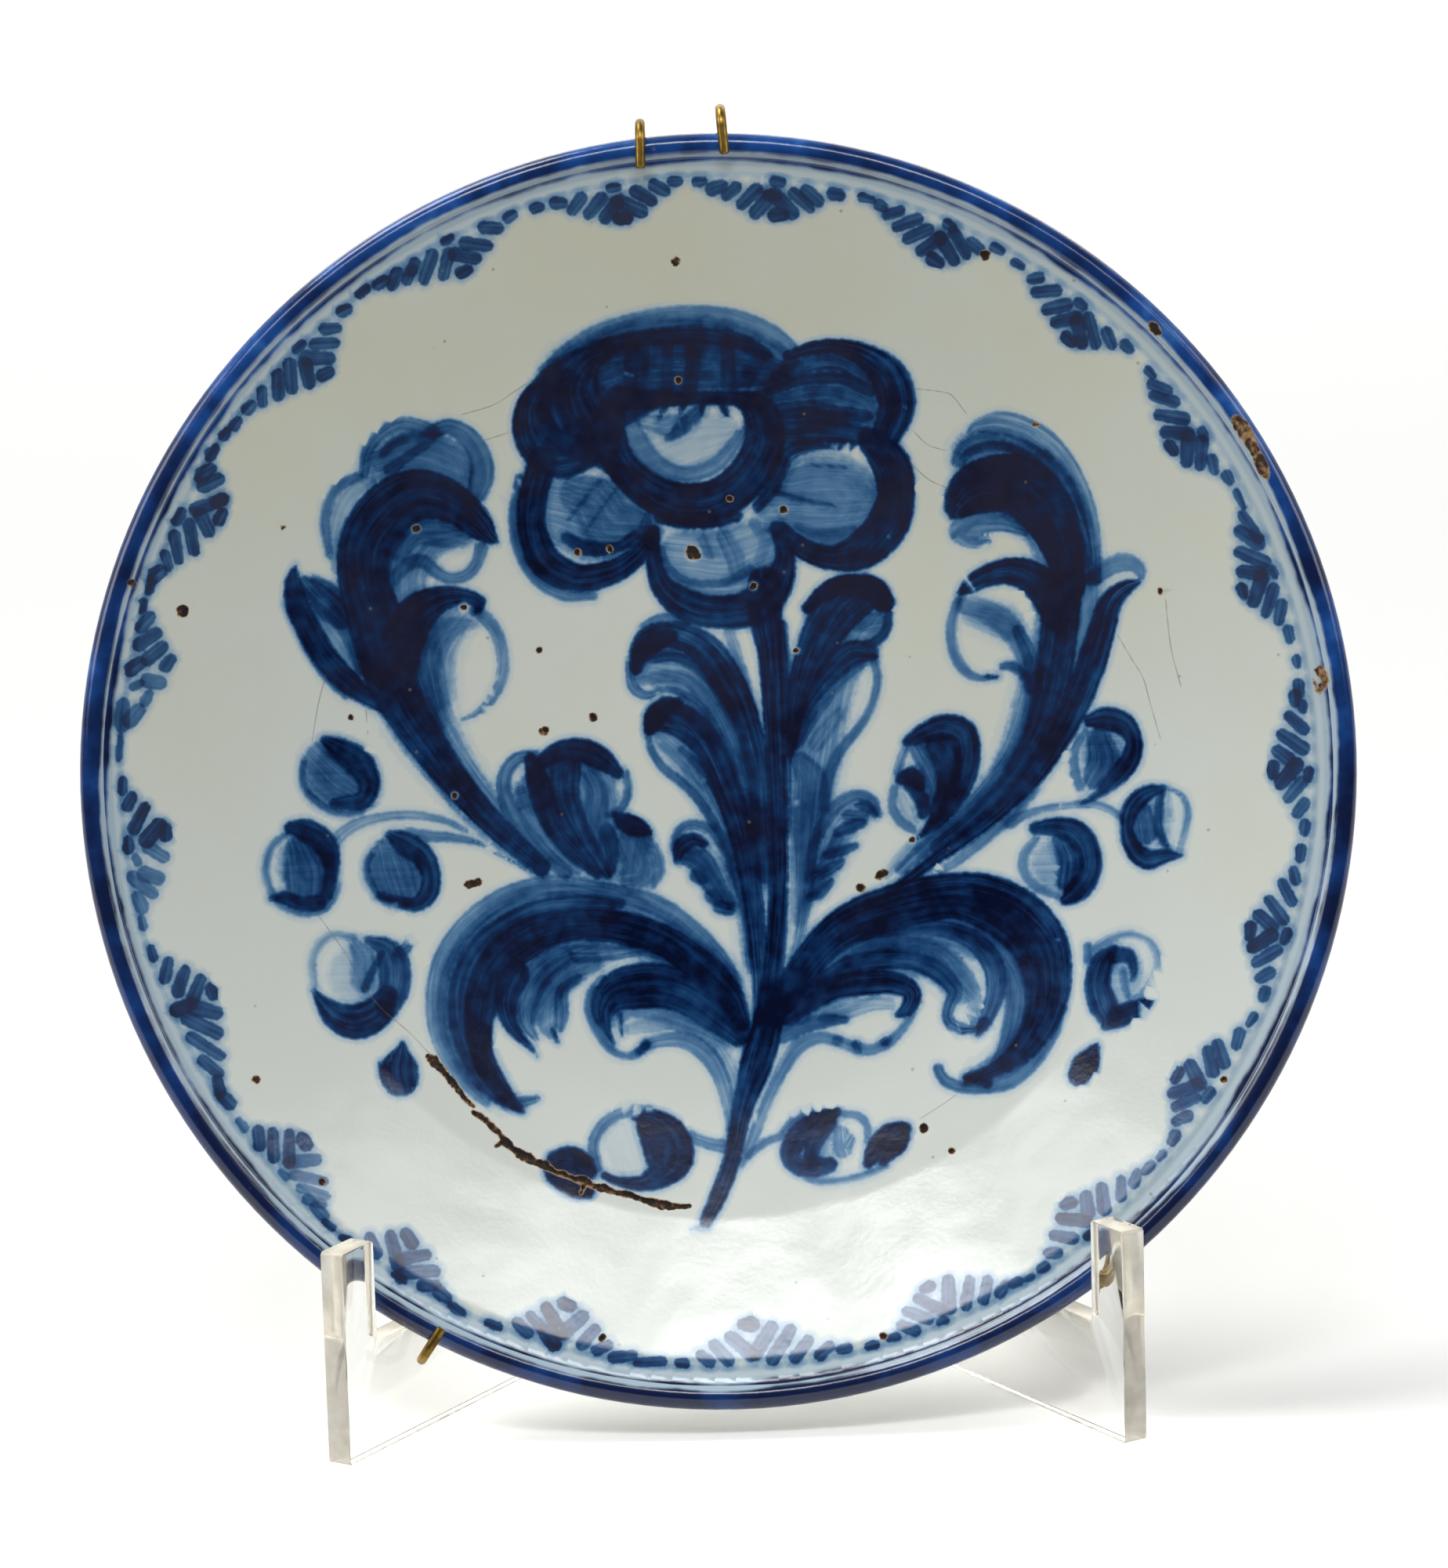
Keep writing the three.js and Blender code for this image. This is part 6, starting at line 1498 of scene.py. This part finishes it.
class OBJECT_OT_make_stand_panels(bpy.types.Operator):
    """Gives the two panels of the stand their polished edges"""

    bl_idname = "object.make_stand_panels"
    bl_label = "Make stand panels"

    def execute(self, context):
        settings = context.scene.stand_settings
        acrylic, sawn = clear_acrylic(settings), scraped_edge()
        for side in ("left", "right"):
            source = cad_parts[f"stand_panel_{side}"]
            panel = bpy.data.objects.new(f"{side}_panel_polished", source.data.copy())
            context.scene.collection.objects.link(panel)
            only(panel)
            bpy.ops.object.mode_set(mode="EDIT")
            bpy.ops.mesh.select_all(action="SELECT")
            bpy.ops.mesh.remove_doubles(threshold=1e-6)
            bpy.ops.mesh.dissolve_limited(angle_limit=math.radians(1))
            bpy.ops.object.mode_set(mode="OBJECT")
            edge = panel.modifiers.new("polished_edge", "BEVEL")
            edge.width = settings.bevel
            edge.segments = 2
            edge.limit_method = "ANGLE"
            edge.angle_limit = math.radians(30)
            bpy.ops.object.modifier_apply(modifier=edge.name)
            bpy.ops.object.shade_smooth_by_angle(angle=math.radians(30))
            panel.data.materials.clear()
            panel.data.materials.append(acrylic)
            panel.data.materials.append(sawn)
            broad = max(panel.data.polygons, key=lambda p: p.area).normal.copy()
            for face in panel.data.polygons:
                face.material_index = int(abs(face.normal.dot(broad)) < 0.5)
            panel.visible_shadow = False  # clear sheet lets the light through to the paper
            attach(panel, f"stand_{side}")
            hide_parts(f"stand_panel_{side}")
        return {"FINISHED"}


# The stage, in metres. The arch of lamps has a middle, a reach to either side, and one up and towards the plate.
PAPER_SIZE = 9
ARCH_MIDDLE = Vector((0, -1.067, 0.434))
ARCH_ACROSS = Vector((0.86, 0, 0))
ARCH_UP = Vector((0, 0.223, 0.824))
ARCH_POWERS = (1.3, 2.9, 3.0, 2.1, 0.8)  # from left to right
LAMP_AIM = (0, -0.05, 0.13)
CAMERA_AIM = Vector((0.0012, -0.048874, 0.1485))
ROOM_STRENGTH = 0.9
SUN_ANGLE = math.radians(28)


class OBJECT_OT_make_stage(bpy.types.Operator):
    """Adds the paper floor, the soft lights and the camera"""

    bl_idname = "object.make_plate_stage"
    bl_label = "Make stage"

    def execute(self, context):
        settings = context.scene.stage_settings
        self.add_floor(settings)
        self.add_lights(context.scene)
        self.add_camera(context.scene, settings)
        context.scene.view_settings.view_transform = "Standard"
        return {"FINISHED"}

    def add_floor(self, settings):
        """White paper that starts just out of view in front of the stand and runs far back."""
        bpy.ops.object.select_all(action="DESELECT")
        bpy.ops.mesh.primitive_plane_add(size=1)
        floor = bpy.context.object
        floor.name = "paper_floor"
        floor.scale = (PAPER_SIZE, PAPER_SIZE, 1)
        floor.location = (0, PAPER_SIZE / 2 - settings.paper, -0.0003)
        finish_place(floor)
        material, tree = new_material("matt_paper")
        shader = node(tree, "BsdfPrincipled", {"Base Color": settings.floor, "Roughness": 0.8,
                                               "Specular IOR Level": 0.2})
        node(tree, "OutputMaterial", {"Surface": shader})
        floor.data.materials.append(material)

    def add_lights(self, scene):
        """A pale room that lights nothing and is mirrored only from behind, and in it an arch of soft lamps above
        the camera, a weak lamp on either side of the plate, one over the paper at the back and a broad sun."""
        world = bpy.data.worlds.new("studio")
        scene.world = world
        world.use_nodes = True
        world.node_tree.nodes.clear()
        tree = world.node_tree
        way = node(tree, "TexCoord").outputs["Generated"]
        back = node(tree, "SeparateXYZ", {0: way}).outputs[1]
        back = node(tree, "MapRange", {0: back, 1: 0.0, 2: 0.35, 3: 0.0, 4: ROOM_STRENGTH})
        mirrored = node(tree, "LightPath").outputs["Is Glossy Ray"]
        strength = node(tree, "MapRange", {0: mirrored, 3: ROOM_STRENGTH, 4: back})
        room = node(tree, "Background", {"Color": linear("f4f3ee"), "Strength": strength})
        node(tree, "OutputWorld", {"Surface": room})
        world.cycles_visibility.diffuse = False
        # the lower half of the border mirrors the arch, and the hollow doesn't
        for turn, power in zip(range(-40, 41, 20), ARCH_POWERS):
            angle = math.radians(turn)
            place = ARCH_MIDDLE + ARCH_ACROSS * math.sin(angle) + ARCH_UP * math.cos(angle)
            self.add_lamp(scene, f"arch_lamp_{turn + 40}", "AREA", place, (0.25, 0.25), power)
        self.add_lamp(scene, "left_lamp", "AREA", (-1.35, -0.35, 0.9), (0.8, 0.8), 9)
        self.add_lamp(scene, "right_lamp", "AREA", (1.35, -0.5, 1.0), (0.8, 0.8), 7)
        self.add_lamp(scene, "back_lamp", "AREA", (0, 4, 2.2), (4.4, 3.6), 108, aim=(0, 4, 0))
        self.add_lamp(scene, "overhead", "SUN", (-0.75, 0.2, 1.8), None, 1.8)

    def add_lamp(self, scene, name, kind, place, size, power, aim=LAMP_AIM):
        """A lamp at a place that shines at its aim; an area lamp has a width and a height."""
        light = bpy.data.lights.new(name, kind)
        light.energy = power
        if size:
            light.shape = "RECTANGLE"
            light.size, light.size_y = size
        else:
            light.angle = SUN_ANGLE
        lamp = bpy.data.objects.new(name, light)
        scene.collection.objects.link(lamp)
        lamp.location = place
        lamp.rotation_euler = (Vector(aim) - Vector(place)).to_track_quat("-Z", "Y").to_euler()

    def add_camera(self, scene, settings):
        """The camera that the photograph was fitted with."""
        data = bpy.data.cameras.new("camera")
        data.lens = settings.focal
        data.sensor_width = 36
        data.clip_start, data.clip_end = 0.05, 50
        camera = bpy.data.objects.new("camera", data)
        scene.collection.objects.link(camera)
        scene.camera = camera
        pitch, roll = settings.pitch, settings.roll
        forward = Vector((0, math.cos(pitch), -math.sin(pitch)))
        level = Vector((1, 0, 0))
        upward = level.cross(forward)
        right = level * math.cos(roll) - upward * math.sin(roll)
        top = level * math.sin(roll) + upward * math.cos(roll)
        turn = Matrix((right, top, -forward)).transposed().to_4x4()
        camera.matrix_world = Matrix.Translation(CAMERA_AIM - forward * settings.distance) @ turn


class VIEW3D_PT_plate(bpy.types.Panel):
    """Lists the plate's operators and sizes"""

    bl_label = "Painted plate"
    bl_space_type = "VIEW_3D"
    bl_region_type = "UI"
    bl_category = "Plate"

    def draw(self, context):
        for operator in OPERATORS:
            self.layout.operator(operator.bl_idname)
        for group in ("plate_settings", "hanger_settings", "stand_settings", "stage_settings"):
            settings = getattr(context.scene, group)
            for name in settings.bl_rna.properties.keys():
                if name not in ("rna_type", "name"):
                    self.layout.prop(settings, name)


GROUPS = {
    "plate_settings": PlateSettings,
    "hanger_settings": HangerSettings,
    "stand_settings": StandSettings,
    "stage_settings": StageSettings,
}
OPERATORS = (
    OBJECT_OT_make_painted_plate,
    OBJECT_OT_make_hanger_wires,
    OBJECT_OT_make_hanger_springs,
    OBJECT_OT_make_stand_panels,
    OBJECT_OT_make_stage,
)


def register():
    for kind in (*GROUPS.values(), *OPERATORS, VIEW3D_PT_plate):
        bpy.utils.register_class(kind)
    for name, group in GROUPS.items():
        setattr(bpy.types.Scene, name, bpy.props.PointerProperty(type=group))


def unregister():
    for name in GROUPS:
        delattr(bpy.types.Scene, name)
    for kind in reversed((*GROUPS.values(), *OPERATORS, VIEW3D_PT_plate)):
        bpy.utils.unregister_class(kind)


def main():
    """Makes the whole scene."""
    register()
    bpy.ops.object.make_painted_plate()
    bpy.ops.object.make_hanger_wires()
    bpy.ops.object.make_hanger_springs()
    bpy.ops.object.make_stand_panels()
    bpy.ops.object.make_plate_stage()


if __name__ == "__main__":
    main()
